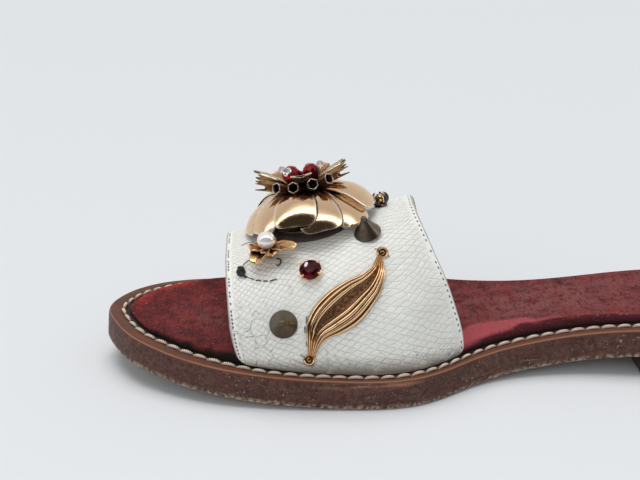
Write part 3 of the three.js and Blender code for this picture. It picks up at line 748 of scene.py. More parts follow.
def footbed_height(x, y):
    """Thickness of the footbed over the sole, fuller along the arch and trodden in by ball and toes."""
    s = along_sole(x)
    swell = np.maximum(0, 1 - ((s - ARCH["along"]) / ARCH["reach"]) ** 2) ** 2
    flank = y - side_y(-1, x, LEDGE["heel"])
    fade = np.maximum(0, 1 - np.maximum(0, flank) / ARCH["width"]) ** 2
    body = FOOTBED_TOE + (FOOTBED_BODY - FOOTBED_TOE) * smooth_step(0, 42 * MM, s)
    hollow = BALL_DEPTH * blot(s, y, *BALL_HOLLOW)
    toes = sum(TOE_DEPTH * blot(s, y, *middle, *TOE_HALVES) for middle in TOE_PRINTS)
    return body + ARCH["rise"] * swell * fade - hollow - toes


def footbed_side(extra, share):
    """A ring of the footbed's wall: extra inset past the ledge, at a share of its height."""
    def row():
        plan = sole_edge(ledge_width(rim[:, 0]) + extra)
        lift = FOOTBED_FLOOR + share * (footbed_height(*plan.T) - FOOTBED_FLOOR)
        return np.column_stack([plan, sole_top(plan[:, 0]) + lift])
    return row


def footbed_face(across, extra, bottom=False):
    """A ring of the footbed's top or underside, a share of the way to the other side."""
    def row():
        plan = sole_edge(ledge_width(rim[:, 0]) + extra)
        plan = plan + across * (plan[across_the_sole] - plan)
        lift = FOOTBED_FLOOR if bottom else footbed_height(*plan.T)
        return np.column_stack([plan, sole_top(plan[:, 0]) + lift])
    return row


footbed = ring_loft("suede_footbed", [
    *(footbed_face(across, 0.4 * MM, True) for across in (0.5, 0.3, 0.1)),
    *(footbed_side(extra * MM, share) for extra, share in FOOTBED_WALL),
    *(footbed_face(across, FOOTBED_TOP_INSET) for across in np.linspace(0.015, 0.5, 30)),
])
smooth(footbed, 60)


def soft_noise(x, y, size, seed):
    """A smooth made-up field of about unit height whose bumps have roughly the given size."""
    draw = np.random.default_rng(seed)
    total = np.zeros(np.shape(x))
    for _ in range(12):
        angle = draw.uniform(0, 2 * np.pi)
        wave = 2 * np.pi / size * draw.uniform(0.5, 1.2)
        total += np.sin(wave * (x * np.cos(angle) + y * np.sin(angle)) + draw.uniform(0, 2 * np.pi))
    return total / 2.4


def mark_footbed(piece):
    """Marks the suede's black near edge, painted shade low on its walls and by the strap, the clean flank of
    the arch, painted light on the toe and the grey ball.
    """
    x, y, z = points_of(piece).T
    s = along_sole(x)
    near = y - side_y(-1, x, 0.0) - ledge_width(x)
    far = side_y(1, x, 0.0) - y - ledge_width(x)
    toe_gap = s - LEDGE["toe"]
    ragged = soft_noise(x, y, 7 * MM, 3)
    up_wall = (z - sole_top(x)) / np.maximum(footbed_height(x, y), FOOTBED_FLOOR)
    behind = smooth_step(120 * MM, 128 * MM, s)
    # Low on the walls, down to the ledge: painted shade
    low = 1 - smooth_step(0.4 - 0.28 * behind, 0.95 - 0.50 * behind, up_wall)
    band = 1 - smooth_step(0.6 * MM, 3.4 * MM, near + 0.6 * MM * ragged)
    band = band * smooth_step(4 * MM, 14 * MM, s) * (1 - behind)
    spot = 0.8 * blot(s, near, *DARK_SPOT)
    mark(piece, "soil_and_shade", np.clip(np.maximum(np.maximum(low, band), spot), 0, 1))
    stations, wall_shade_share, clean_width = np.array(FLANK).T
    wall_shade = np.interp(s / MM, stations, wall_shade_share)
    wedge = np.interp(s / MM, stations, clean_width) * MM
    # Painted shade low on the wall behind the strap, near the inner edge
    shaded_low = 1 - smooth_step(wall_shade - 0.07, wall_shade + 0.07, up_wall + 0.05 * ragged)
    mark(piece, "wall_shade", shaded_low * behind * (1 - smooth_step(0.8 * MM, 2.4 * MM, near)))
    flank = 1 - smooth_step(wedge - 2.2 * MM, wedge + 1.4 * MM, near + 0.8 * MM * ragged)
    mark(piece, "clean", flank * stretch_of(s, *CLEAN_FLANK))
    # Painted shade on the suede under and round the strap
    mark(piece, "strap_shade", stretch_of(s, *UNDER_STRAP))
    # Painted light on the suede of the toe, towards its far edge and tip
    toe_light = (1 - smooth_step(2 * MM, 9 * MM, np.minimum(far, toe_gap))) * stretch_of(s, *LIT_TOE)
    mark(piece, "bright", toe_light * smooth_step(-2 * MM, 8 * MM, y))
    tread = blot(s, y, *GREY_TREAD) * (s > 100 * MM)
    mark(piece, "worn", np.clip(0.9 * blot(s, y, *GREY_BALL) + tread, 0, 1))


def red_suede():
    made = new_material("red_suede", Roughness=0.95, Specular_IOR_Level=0.1, Sheen_Weight=0.06,
                        Sheen_Roughness=0.5, Sheen_Tint=SUEDE_SHEEN)
    place = object_place(made)
    brushed = stretched(made, place, (1.0, 0.35, 1.0), (0.0, 0.0, 0.7))
    colour = blend(made, patches(made, place, 130, 0.42, 0.72), SUEDE_RED, SUEDE_DARK)
    streaks = product(made, patches(made, brushed, 330, 0.48, 0.66, 5.0), 0.55)
    colour = blend(made, streaks, colour, SUEDE_DARK)
    grey = product(made, marked(made, "worn"), patches(made, place, 210, 0.30, 0.60))
    colour = blend(made, grey, colour, SUEDE_GREY)
    # Painted shade by the strap and low on the walls behind it, painted light on the toe, and the clean
    # flank of the arch
    for name, share, shade in (("strap_shade", 0.45, SUEDE_SHADE), ("bright", 0.85, SUEDE_LIT),
                               ("clean", 0.85, SUEDE_CLEAN), ("wall_shade", 0.85, SUEDE_SHADE)):
        colour = blend(made, product(made, marked(made, name), share), colour, shade)
    trodden = calculate(made, "SUBTRACT", 0.75, product(made, marked(made, "clean"), 0.60))
    specks = product(made, patches(made, brushed, 900, 0.52, 0.68, 3.0), trodden)
    colour = blend(made, specks, colour, SUEDE_DARK)
    lint = product(made, patches(made, place, 1400, 0.64, 0.72, 2.0), 0.40)
    colour = blend(made, lint, colour, LINT_PINK)
    # Black from painted shade low on the walls, along the near edge and in one dark spot
    colour = blend(made, marked(made, "soil_and_shade"), colour, SOIL_AND_SHADE_BLACK)
    nap = bump(made, patches(made, brushed, 1500, 0.2, 0.8, 5.0), 0.0003, 0.8)
    waves = bump(made, patches(made, place, 320, 0.2, 0.8), 0.0005, 0.5, nap)
    set_shader(made, Base_Color=colour, Normal=waves)
    return made


mark_footbed(footbed)
seat_on_root(footbed, red_suede(), "red_suede", "footbed")

# Strap
# One wide band of off-white lizard-embossed leather with a plain lining, its long edges folded and sewn
# and its feet tucked down beside the footbed. The ornaments are sewn and riveted to it.

STRAP_WALL = 1.7 * MM
STRAP_WIDTH = 68 * MM  # over the instep
STRAP_INSET = 4.7 * MM
STRAP_CORNER = 3.6 * MM
STRAP_SKEW = 3.0 * MM
STRAP_FULLNESS = 2.2
SEAT_GAP = 0.3 * MM
STRAP_FRONT = {"medial": 50 * MM, "lateral": 47.5 * MM, "crest": 43.4 * MM, "height": 45.6 * MM,
               "bulge": 0.0}
STRAP_REAR = {"medial": 127.7 * MM, "lateral": 122 * MM, "crest": 111.3 * MM, "height": 58 * MM,
              "bulge": 1.0 * MM}
LEAN_POWER = (0.38, 1.7)  # how early the front and rear edges lean on their way up
STRAP_COLUMNS = {"face": 200, "roll": 6, "lining": 40}
STRAP_ROWS = 360
FOOT_CROWDING = 0.32  # rows crowd towards the feet, where the wall stands steep
STRAP_SAG = 0.12 * MM
SCALE_LENGTH = (2.5 * MM, 3.6 * MM, 5.2 * MM)  # at the front edge, in the middle and at the rear
LENGTHS_MEET = ((4 * MM, 32 * MM), (34 * MM, 56 * MM))  # where one length goes over into the next
SCALE_HEIGHT = (2.6 * MM, 1.9 * MM)  # on the side and over the instep
HEIGHTS_MEET = (36 * MM, 56 * MM)
SCALE_RELIEF = 0.19 * MM
SCALE_RISE = 0.17  # how far the rows of scales rise towards the rear edge
RISE_FROM = (26 * MM, 44 * MM)
# Sewn edges, in millimetres: how far the needle holes stand from the edge, their pitch, and the share of
# them that is missing
FRONT_SEAM = {"inset": 0.45, "pitch": 1.35, "missing": 0.25}
REAR_SEAM = {"inset": 0.70, "pitch": 2.15, "missing": 0.06}
SEAM_HALF = 0.45
SEAM_DEPTH = 0.12 * MM
NEEDLE_HOLE = {"half_length": 0.62, "half_width": 0.36}
STAIN = {"along": 0.19, "half_along": 0.055, "turn": 58.5, "half_turn": 1.3}
LEATHER_WHITE = (0.86, 0.86, 0.815, 1.0)
LEATHER_CREAM = (0.81, 0.81, 0.76, 1.0)
# Painted shade in the grooves between the scales
LEATHER_GROOVE_SHADE = (0.60, 0.60, 0.555, 1.0)
LEATHER_SHADED = (0.74, 0.74, 0.695, 1.0)
# Painted highlight along the scales' upper edges
LEATHER_HIGHLIGHT = (0.96, 0.96, 0.93, 1.0)
# Grey of the finish's cracks, and of painted shade along the creases
LEATHER_CRACK_AND_SHADE = (0.27, 0.26, 0.235, 1.0)
STAIN_BROWN = (0.34, 0.25, 0.17, 1.0)
# Brown of grime and of painted shade over the strap's foot
GRIME_AND_SHADE_BROWN = (0.21, 0.165, 0.125, 1.0)
HOLE_BLACK = (0.045, 0.045, 0.042, 1.0)
LINING_BEIGE = (0.42, 0.31, 0.22, 1.0)
# Creases, from and to, as millimetres from the front edge and up from the inner foot, depth and width
CREASES = (
    (31.8, 10.5, 30.1, 3.0, 0.10, 0.45), (33.5, 7.4, 35.4, 1.8, 0.13, 0.45),
    (37.0, 6.6, 39.6, 2.0, 0.10, 0.45), (12.8, 5.5, 15.2, 2.8, 0.12, 0.45),
    (19.5, 6.5, 24.0, 3.2, 0.10, 0.45), (9.0, 20.2, 15.5, 16.0, -0.08, 0.5),
    (21.0, 34.0, 21.6, 28.0, 0.10, 0.4),
)


def strap_face(along, turn, corner=STRAP_CORNER):
    """A point of the strap's outer face: along from front to rear edge, turn from inner to outer foot."""
    along, turn = np.broadcast_arrays(np.asarray(along, float), np.asarray(turn, float))
    row = {key: STRAP_FRONT[key] + (STRAP_REAR[key] - STRAP_FRONT[key]) * along for key in STRAP_FRONT}
    power = 2 / STRAP_FULLNESS
    sine, cosine = np.maximum(np.sin(turn), 0), np.cos(turn)
    base = row["medial"] + (row["lateral"] - row["medial"]) * (1 - cosine) / 2
    floor_level = sole_top(SOLE_TOE + base) + SEAT_GAP
    lift = (row["height"] - floor_level) * sine ** power
    pull = corner - np.sqrt(corner ** 2 - np.maximum(0, corner - lift) ** 2)
    pull = pull * (1 - 2 * along)
    medial = side_y(-1, SOLE_TOE + row["medial"] + pull, STRAP_INSET)
    lateral = side_y(1, SOLE_TOE + row["lateral"] + pull, STRAP_INSET)
    lean_power = LEAN_POWER[0] + (LEAN_POWER[1] - LEAN_POWER[0]) * along
    lean = (row["crest"] - base) * sine ** (lean_power * power)
    half, middle = (lateral - medial) / 2, (lateral + medial) / 2
    y = middle - half * np.sign(cosine) * np.abs(cosine) ** power
    y = y - row["bulge"] * np.sin(2 * turn) - STRAP_SKEW * sine ** 2
    return np.stack([SOLE_TOE + base + lean + pull, y, floor_level + lift], -1)


def strap_normal(along, turn):
    step = 1e-3
    turn = np.clip(turn, step, np.pi - step)
    across = strap_face(along, turn + step, 0) - strap_face(along, turn - step, 0)
    lengthwise = strap_face(along + step, turn, 0) - strap_face(along - step, turn, 0)
    normal = np.cross(lengthwise, across)
    return normal / np.linalg.norm(normal, axis=-1, keepdims=True)


def run_length(points, axis):
    """Length run over the points along one axis of a grid."""
    steps = np.linalg.norm(np.diff(points, axis=axis), axis=-1)
    return np.concatenate([np.zeros_like(np.take(steps, [0], axis)), np.cumsum(steps, axis)], axis)


def scale_cells(u, v):
    """Lattice of the embossed scales: its two slanting counts, whole numbers at the scales' borders."""
    steps = np.linspace(-0.02, 0.2, 2201)
    front, middle, rear = SCALE_LENGTH
    longer = front + (middle - front) * smooth_step(*LENGTHS_MEET[0], steps)
    longer = longer + (rear - middle) * smooth_step(*LENGTHS_MEET[1], steps)
    lower = SCALE_HEIGHT[0] + (SCALE_HEIGHT[1] - SCALE_HEIGHT[0]) * smooth_step(*HEIGHTS_MEET, steps)
    a = np.interp(u, steps, np.cumsum(1 / longer) * (steps[1] - steps[0]))
    rise = SCALE_RISE * (u - RISE_FROM[0]) * smooth_step(*RISE_FROM, u)
    b = np.interp(v - rise, steps, np.cumsum(1 / lower) * (steps[1] - steps[0]))
    b = b * (1.2 - 0.2 * smooth_step(0, 30 * MM, u))
    bend = 0.16 * soft_noise(u, v, 17 * MM, 5)
    fine = 0.06 * soft_noise(u, v, 6 * MM, 6)
    return a + b + bend + fine, a - b + bend - fine


def scale_relief(p, q):
    """Height of the scales, 0 to 1: each tile stands proud at its upper edge and dips at its borders."""
    p, q = p % 1, q % 1
    border = np.minimum(np.minimum(p, 1 - p), np.minimum(q, 1 - q))
    return smooth_step(0.0, 0.16, border) * (0.55 + 0.45 * (p + 1 - q) / 2)


def crease_depth(u, v):
    depth = np.zeros_like(u)
    for from_u, from_v, to_u, to_v, deep, wide in CREASES:
        start, way = np.array([from_u, from_v]), np.array([to_u - from_u, to_v - from_v])
        share = ((u / MM - start[0]) * way[0] + (v / MM - start[1]) * way[1]) / (way @ way)
        t = np.clip(share, 0, 1)
        wave = 0.35 * np.sin(5 * t + from_u)
        gap = np.hypot(u / MM - start[0] - t * way[0] - wave * way[1] / np.linalg.norm(way),
                       v / MM - start[1] - t * way[1] + wave * way[0] / np.linalg.norm(way))
        ends = 0.4 + 0.6 * np.sqrt(np.clip(4 * t * (1 - t), 0, 1))
        lips = 0.4 * np.exp(-((gap / wide - 2.2) / 1.1) ** 2)
        depth += deep * MM * ends * (np.exp(-(gap / wide) ** 2) - lips)
    return depth


def build_strap():
    """The strap as one closed wall: its face, a rolled rear edge, the lining and a rolled front edge."""
    face, roll, lining = (STRAP_COLUMNS[key] for key in ("face", "roll", "lining"))
    turn = np.linspace(0, np.pi, STRAP_ROWS + 1)
    turn = turn - FOOT_CROWDING * np.sin(2 * turn) / 2
    margin = 0.5 * STRAP_WALL / STRAP_WIDTH
    along = np.linspace(margin, 1 - margin, face)
    outer = strap_face(along[None, :], turn[:, None])
    normal = strap_normal(along[None, :], turn[:, None])
    u, v = run_length(outer, 1), run_length(outer, 0)
    from_rear = u[:, -1:] - u
    p, q = scale_cells(u, v)
    flat = np.minimum(smooth_step(0.9 * MM, 2.2 * MM, u), smooth_step(1.0 * MM, 2.6 * MM, from_rear))
    foot = np.minimum(v, v[-1:, :] - v)
    flat = flat * smooth_step(0.5 * MM, 3 * MM, foot)
    creases = crease_depth(u, v)
    stain = np.exp(-((along[None, :] - STAIN["along"]) / STAIN["half_along"]) ** 2
                   - ((np.degrees(turn)[:, None] - STAIN["turn"]) / STAIN["half_turn"]) ** 2)
    seams = np.exp(-((u / MM - FRONT_SEAM["inset"]) / SEAM_HALF) ** 2)
    seams = seams + np.exp(-((from_rear / MM - REAR_SEAM["inset"]) / SEAM_HALF) ** 2)
    sag = STRAP_SAG * soft_noise(u, v, 22 * MM, 9)
    relief = SCALE_RELIEF * (scale_relief(p, q) - 1) * flat - creases - SEAM_DEPTH * seams + sag
    shaped = outer + normal * relief[..., None]
    inner = outer - normal * STRAP_WALL

    lengthwise = np.gradient(outer, axis=1)
    lengthwise = lengthwise / np.linalg.norm(lengthwise, axis=-1, keepdims=True)
    bends = np.linspace(0, np.pi, roll + 2)[1:-1]

    def rolled(column, way, order):
        middle = (shaped[:, column] + inner[:, column]) / 2
        reach = np.linalg.norm(shaped[:, column] - inner[:, column], axis=-1, keepdims=True) / 2
        out, onward = normal[:, column], way * lengthwise[:, column]
        return [middle + reach * (np.cos(bend) * out + np.sin(bend) * onward) for bend in order]

    back = np.rint(np.linspace(face - 1, 0, lining)).astype(int)
    columns = np.concatenate([shaped, np.stack(rolled(-1, 1, bends), 1), inner[:, back],
                              np.stack(rolled(0, -1, bends[::-1]), 1)], 1)
    count = columns.shape[1]

    def place(a, b):
        return columns[np.rint(b * STRAP_ROWS).astype(int), np.rint(a * count).astype(int) % count]

    piece = grid_piece("scale_strap", count, STRAP_ROWS, place)
    shape = (STRAP_ROWS + 1, count + 1)
    for name, values in (("cell_p", p), ("cell_q", q), ("flat", flat), ("from_front", u / MM),
                         ("from_rear", from_rear / MM), ("up", v / MM), ("over_foot", foot / MM),
                         ("crease", np.clip(creases / (0.16 * MM), 0, 1)), ("stain", stain)):
        whole = np.full(shape, values.max())
        whole[:, :face] = values
        whole[:, -1] = values[:, 0]
        mark(piece, name, whole.ravel())
    lined = np.zeros(shape)
    lined[:, face + roll:face + roll + lining] = 1
    mark(piece, "lined", lined.ravel())
    close_mesh(0.001 * MM, True)
    return piece


def needle_holes(material, edge_gap, up, seam):
    """Mask of the short dark holes of a sewn edge, with some left out."""
    count = calculate(material, "DIVIDE", up, seam["pitch"])
    beside = calculate(material, "SUBTRACT", calculate(material, "FRACT", count), 0.5)
    beside = calculate(material, "ABSOLUTE", beside)
    beside = product(material, beside, seam["pitch"] / NEEDLE_HOLE["half_length"])
    aside = calculate(material, "SUBTRACT", edge_gap, seam["inset"])
    aside = calculate(material, "DIVIDE", aside, NEEDLE_HOLE["half_width"])
    square = calculate(material, "ADD", calculate(material, "POWER", beside, 2.0),
                       product(material, aside, aside))
    hole = spread(material, calculate(material, "SQRT", square), 1.0, 0.6)
    draw = add_node(material, "ShaderNodeTexWhiteNoise", {"W": calculate(material, "FLOOR", count)},
                    noise_dimensions="1D").outputs["Value"]
    return product(material, hole, calculate(material, "GREATER_THAN", draw, seam["missing"]))


def tile_height(material):
    """From the scales' lattice, each from 0 to 1: their borders, crisp height, and upper edges for the
    painted highlight.
    """
    p = calculate(material, "FRACT", marked(material, "cell_p"))
    q = calculate(material, "FRACT", marked(material, "cell_q"))
    border = calculate(material, "MINIMUM", calculate(material, "PINGPONG", p, 0.5),
                       calculate(material, "PINGPONG", q, 0.5))
    line = spread(material, border, 0.0, 0.07)
    rise = calculate(material, "MULTIPLY_ADD", calculate(material, "SUBTRACT", p, q), 0.32, 0.68)
    upper = calculate(material, "MAXIMUM", spread(material, p, 0.85, 0.95), spread(material, q, 0.15, 0.05))
    return line, product(material, line, rise), upper


def cracks(material):
    """Fine cracks in the finish, in the strap's lower front corner and over its foot."""
    front, up = marked(material, "from_front"), marked(material, "up")
    spot = add_node(material, "ShaderNodeCombineXYZ", {0: front, 1: up}).outputs[0]
    bent = add_node(material, "ShaderNodeTexNoise", {"Vector": spot, "Scale": 0.45, "Detail": 3.0})
    bent = add_node(material, "ShaderNodeVectorMath", {0: bent.outputs["Color"], 3: 2.6},
                    operation="SCALE").outputs[0]
    spot = add_node(material, "ShaderNodeVectorMath", {0: spot, 1: bent}, operation="ADD").outputs[0]
    cells = add_node(material, "ShaderNodeTexVoronoi", {"Vector": spot, "Scale": 0.24},
                     feature="DISTANCE_TO_EDGE")
    line = spread(material, cells.outputs["Distance"], 0.028, 0.008)
    kept = add_node(material, "ShaderNodeTexNoise", {"Vector": spot, "Scale": 0.16, "Detail": 1.0})
    kept = spread(material, kept.outputs["Fac"], 0.36, 0.52)
    corner = product(material, spread(material, front, 26.0, 8.0), spread(material, up, 30.0, 18.0))
    low = product(material, spread(material, marked(material, "over_foot"), 13.0, 5.0), 0.55)
    region = product(material, calculate(material, "MAXIMUM", corner, low), kept)
    return product(material, line, region)


def scale_leather():
    made = new_material("scale_leather", Specular_IOR_Level=0.35)
    place = object_place(made)
    line, height, upper = tile_height(made)
    flat = marked(made, "flat")
    up, over_foot = marked(made, "up"), marked(made, "over_foot")
    colour = blend(made, patches(made, place, 70, 0.35, 0.7), LEATHER_WHITE, LEATHER_CREAM)
    tile = add_node(made, "ShaderNodeCombineXYZ", {0: calculate(made, "FLOOR", marked(made, "cell_p")),
                                                   1: calculate(made, "FLOOR", marked(made, "cell_q"))})
    shade = add_node(made, "ShaderNodeTexWhiteNoise", {"Vector": tile.outputs[0]}, noise_dimensions="2D")
    shaded = product(made, product(made, shade.outputs["Value"], flat), 0.45)
    colour = blend(made, shaded, colour, LEATHER_SHADED)
    # Painted highlight along each scale's upper edge, as if lit from above.
    colour = blend(made, product(made, product(made, upper, flat), 0.90), colour, LEATHER_HIGHLIGHT)
    faint = product(made, flat, patches(made, place, 110, 0.30, 0.62))
    # Painted shade in the grooves between the scales, faint in patches.
    groove_shade = product(made, spread(made, line, 1.0, 0.0, 0.06, 0.26), faint)
    colour = blend(made, groove_shade, colour, LEATHER_GROOVE_SHADE)
    stained = product(made, marked(made, "stain"), patches(made, place, 420, 0.30, 0.60))
    colour = blend(made, product(made, stained, 0.6), colour, STAIN_BROWN)
    cracked = cracks(made)
    colour = blend(made, product(made, cracked, 0.95), colour, LEATHER_CRACK_AND_SHADE)
    # Painted shade along the creases.
    colour = blend(made, product(made, marked(made, "crease"), 0.5), colour, LEATHER_CRACK_AND_SHADE)
    # Darker brown towards the strap's foot by the sole: grime and painted shade.
    grime_and_shade = product(made, spread(made, over_foot, 7.2, 1.2), patches(made, place, 170, 0.02, 0.46))
    colour = blend(made, product(made, grime_and_shade, 0.92), colour, GRIME_AND_SHADE_BROWN)
    holes = calculate(made, "MAXIMUM", needle_holes(made, marked(made, "from_front"), up, FRONT_SEAM),
                      needle_holes(made, marked(made, "from_rear"), up, REAR_SEAM))
    colour = blend(made, product(made, holes, 0.95), colour, HOLE_BLACK)
    colour = blend(made, marked(made, "lined"), colour, LINING_BEIGE)
    wrinkles = bump(made, patches(made, place, 650, 0.2, 0.8, 3.0), 0.00008, 0.6)
    wrinkles = bump(made, cracked, -0.0001, 1.0, wrinkles)
    tiles = bump(made, product(made, height, flat), 0.00028, 1.0, wrinkles)
    set_shader(made, Base_Color=colour, Normal=tiles, Roughness=spread(made, line, 0.0, 1.0, 0.7, 0.45))
    return made


strap = build_strap()
smooth(strap, 60)
seat_on_root(strap, scale_leather(), "scale_leather", "strap")

# Flower
# A brooch of ten domed petals in thin rose-gold plate, riveted through a dark backplate to the strap.
# The petals lap one over the next; their fluted roots are browned with patina. Painted shade darkens their
# crevices.

SEATED = 0.1 * MM  # ornaments' floors over the strap's face
FLOWER_SEAT = (0.450, 94)
# Each petal's direction, its reach, and how far its tip stands over the flower's dome
PETALS = ((-14, 24.3, 1.3), (-44, 23.6, -1.9), (-79, 23.4, -0.4), (-104, 22.2, 2.5), (-147, 22.6, -0.2),
          (-170, 23.4, -1.2), (166, 22.8, -1.8), (130, 23.0, 0.4), (90, 23.0, -0.3), (45, 23.0, 0.2))
PETAL = {"half": 7.5, "root": 2.2, "widest": 0.70, "camber": 1.3, "sheet": 0.45, "rim": 23.0}
PETAL_GRID = (26, 40)
# Painted highlight along the petals' rims
PETAL_RIM_HIGHLIGHT = (0.93, 0.80, 0.64, 1.0)
CREVICE = {"reach": 4.0, "start": 0.04, "tilts": (38, 62, 80), "turns": 6, "rough": 0.6}
# Painted shade in the metal's crevices
CREVICE_SHADE_BROWN = (0.030, 0.014, 0.009, 1.0)
# Height of the flower's dome over its seat, by share of the way out to the petals' tips
DOME = ((0.19, 11.4), (0.38, 11.9), (0.565, 11.5), (0.72, 10.1), (0.85, 7.8), (0.93, 5.6), (1.0, 2.6))
# The dark sheet under the petals, in millimetres: the backplate and painted shade beyond it
BACKPLATE = {"down": 17.5, "up": 14.0, "lengthwise": 18.5, "sheet": 0.45}
POST_ROWS = ((0, 0), (13.6, 0), (14.0, 0.2), (14.0, 0.8), (13.6, 1.0), (12.5, 1.05), (9, 2.1), (4.6, 3.0),
             (4.0, 3.8), (4.0, 12.0), (4.6, 12.3), (5.0, 12.5), (5.0, 12.9), (4.6, 13.1), (0, 13.1))
ROSE_GOLD = (0.80, 0.565, 0.36, 1.0)
ROSE_BROWN = (0.20, 0.070, 0.028, 1.0)
DARK_BRONZE = (0.115, 0.098, 0.080, 1.0)
BRONZE_BLACK = (0.035, 0.028, 0.024, 1.0)
BACKPLATE_SHADE_BROWN = (0.15, 0.118, 0.104, 1.0)
BACKPLATE_SHADE_BLACK = (0.075, 0.060, 0.054, 1.0)


def strap_seat(along, turn):
    """The frame of an ornament on the strap, turn in degrees: +Z out of the face, +X towards the heel."""
    angle = math.radians(turn)
    up = Vector(strap_normal(along, angle))
    heelward = Vector(strap_face(along + 1e-3, angle, 0) - strap_face(along, angle, 0))
    across = up.cross(heelward).normalized()
    place = Matrix((across.cross(up), across, up)).transposed().to_4x4()
    place.translation = Vector(strap_face(along, angle, 0)) + SEATED * up
    return place


def over_strap(seat, heelward, upward, height):
    """Points some way from a seat over the strap's face: towards the heel, up the instep, and off it."""
    steps = 6
    small = 1e-3
    along = np.full(np.shape(heelward), float(seat[0]))
    turn = np.full(np.shape(heelward), math.radians(seat[1]))
    for _ in range(steps):
        here = strap_face(along, turn, 0)
        per_turn = np.linalg.norm(strap_face(along, turn + small, 0) - here, axis=-1) / small
        per_along = np.linalg.norm(strap_face(along + small, turn, 0) - here, axis=-1) / small
        turn = turn + upward / steps / per_turn
        along = along + heelward / steps / per_along
    return strap_face(along, turn, 0) + strap_normal(along, turn) * np.asarray(height)[..., None]


def lathe(name, profile, segments=48):
    """A turned piece round +Z, from rows of radius and height in millimetres."""
    rows = np.array(profile) * MM

    def place(u, v):
        row = np.rint(v * (len(rows) - 1)).astype(int)
        turn = 2 * np.pi * u
        return np.column_stack([rows[row, 0] * np.cos(turn), rows[row, 0] * np.sin(turn), rows[row, 1]])

    return grid_piece(name, segments, len(rows) - 1, place, 0.005 * MM)


def sheet_metal(piece, thickness):
    """Gives an open surface its thickness, inwards, with a softly rounded edge."""
    select_only(piece)
    wall = piece.modifiers.new("sheet", "SOLIDIFY")
    wall.thickness = thickness
    wall.offset = -1.0
    bpy.ops.object.modifier_apply(modifier=wall.name)
    round_edges(piece, 0.3 * thickness, 2, 60)
    return piece


def open_spline(points, count):
    """A smooth open line through the points, evenly in their numbers."""
    points = np.asarray(points, float)
    padded = np.vstack([2 * points[0] - points[1], points, 2 * points[-1] - points[-2]])
    spot = np.linspace(0, len(points) - 1, count)
    step = np.minimum(spot.astype(int), len(points) - 2)
    t = (spot - step)[:, None]
    return between(*(padded[step + shift] for shift in range(4)), t)


def swung(turn, reach, across, height):
    """Points some way out along a direction from +Z and some way across it, in millimetres."""
    return np.column_stack([reach * np.cos(turn) - across * np.sin(turn),
                            reach * np.sin(turn) + across * np.cos(turn), height]) * MM


def flower_petal(degrees, tip_reach, lift):
    """One petal, hub to tip along its own direction, following the flower's dome and lapped by its lift."""
    turn = math.radians(degrees)
    share, dome = open_spline(DOME, 80).T
    run = np.concatenate([[0], np.cumsum(np.hypot(np.diff(share * tip_reach), np.diff(dome)))])

    def place(u, v):
        side = 2 * u - 1
        widest = PETAL["widest"]
        swell = np.sin(np.pi / 2 * np.minimum(v / widest, 1)) ** 0.9
        swelling = PETAL["root"] + (PETAL["half"] - PETAL["root"]) * swell
        tip = PETAL["half"] * np.sqrt(1 - (0.997 * np.maximum(v - widest, 0) / (1 - widest)) ** 2)
        half = np.where(v < widest, swelling, tip)
        reach = np.interp(v * run[-1], run, share * tip_reach)
        across = side * half
        height = np.interp(np.hypot(reach, across) / tip_reach, share, dome)
        height = height - PETAL["camber"] * (across / PETAL["half"]) ** 2 + lift * smooth_step(0.0, 0.6, v)
        flutes = np.cos(5 * np.pi * side) * (1 - smooth_step(0.10, 0.55, v))
        return swung(turn, reach, across, height + 0.24 * flutes)

    piece = grid_piece("petal", *PETAL_GRID, place)
    side = np.tile(np.abs(np.linspace(-1, 1, PETAL_GRID[0] + 1)), PETAL_GRID[1] + 1)
    way = np.repeat(np.linspace(0, 1, PETAL_GRID[1] + 1), PETAL_GRID[0] + 1)
    flanks = smooth_step(0.88, 0.99, side) * smooth_step(0.2, 0.5, way)
    mark(piece, "rim", np.maximum(flanks, smooth_step(0.96, 1.0, way)))
    return sheet_metal(piece, PETAL["sheet"] * MM)


def backplate_and_shade():
    """A thin dark oval sheet on the strap under the petals, wider than the backplate: its edge, and painted
    shade of the petals.
    """
    def place(u, v):
        turn = 2 * np.pi * u
        down = np.where(np.sin(turn) < 0, BACKPLATE["down"], BACKPLATE["up"])
        height = np.where(v > 0.99, 0.0, BACKPLATE["sheet"] + 0.5 * (1 - v))
        heelward, upward = BACKPLATE["lengthwise"] * v * np.cos(turn), down * v * np.sin(turn)
        return over_strap(FLOWER_SEAT, heelward * MM, upward * MM, height * MM + 0.5 * SEATED)
    return grid_piece("flower_backplate_and_shade", 72, 14, place, 0.01 * MM, fill=True)


def mark_petals(piece):
    """Marks the brown patina round the flower's hub, streaked along the flutes."""
    x, y, _ = points_of(piece).T
    out = np.hypot(x, y) / (PETAL["rim"] * MM)
    turn = np.arctan2(y, x)
    streak = np.clip(0.40 + 0.45 * np.sin(50 * turn) + 0.35 * np.sin(23 * turn + 1.0), 0, 1) ** 1.5
    mark(piece, "patina", 1.0 - smooth_step(0.36 + 0.12 * streak, 0.46 + 0.32 * streak, out))


def plated_metal(name, bright, browned, roughness, specks=0.35):
    """Polished plate that shows its dark patina where the piece is marked, with small dull specks."""
    made = new_material(name, Metallic=1.0)
    place = object_place(made)
    colour = blend(made, marked(made, "patina"), bright, browned)
    dull = patches(made, place, 520, 0.55, 0.72)
    colour = blend(made, product(made, dull, specks), colour, browned)
    brushed = stretched(made, place, (0.08, 1.0, 1.0), (0.3, 0.5, 0.8))
    scratches = patches(made, brushed, 2600, 0.35, 0.75, 2.0)
    dulled = calculate(made, "MAXIMUM", marked(made, "patina"), product(made, dull, 0.5))
    rough = spread(made, dulled, 0.0, 1.0, roughness, roughness + 0.28)
    set_shader(made, Base_Color=colour, Roughness=rough, Normal=bump(made, scratches, 0.00001, 0.5))
    return made


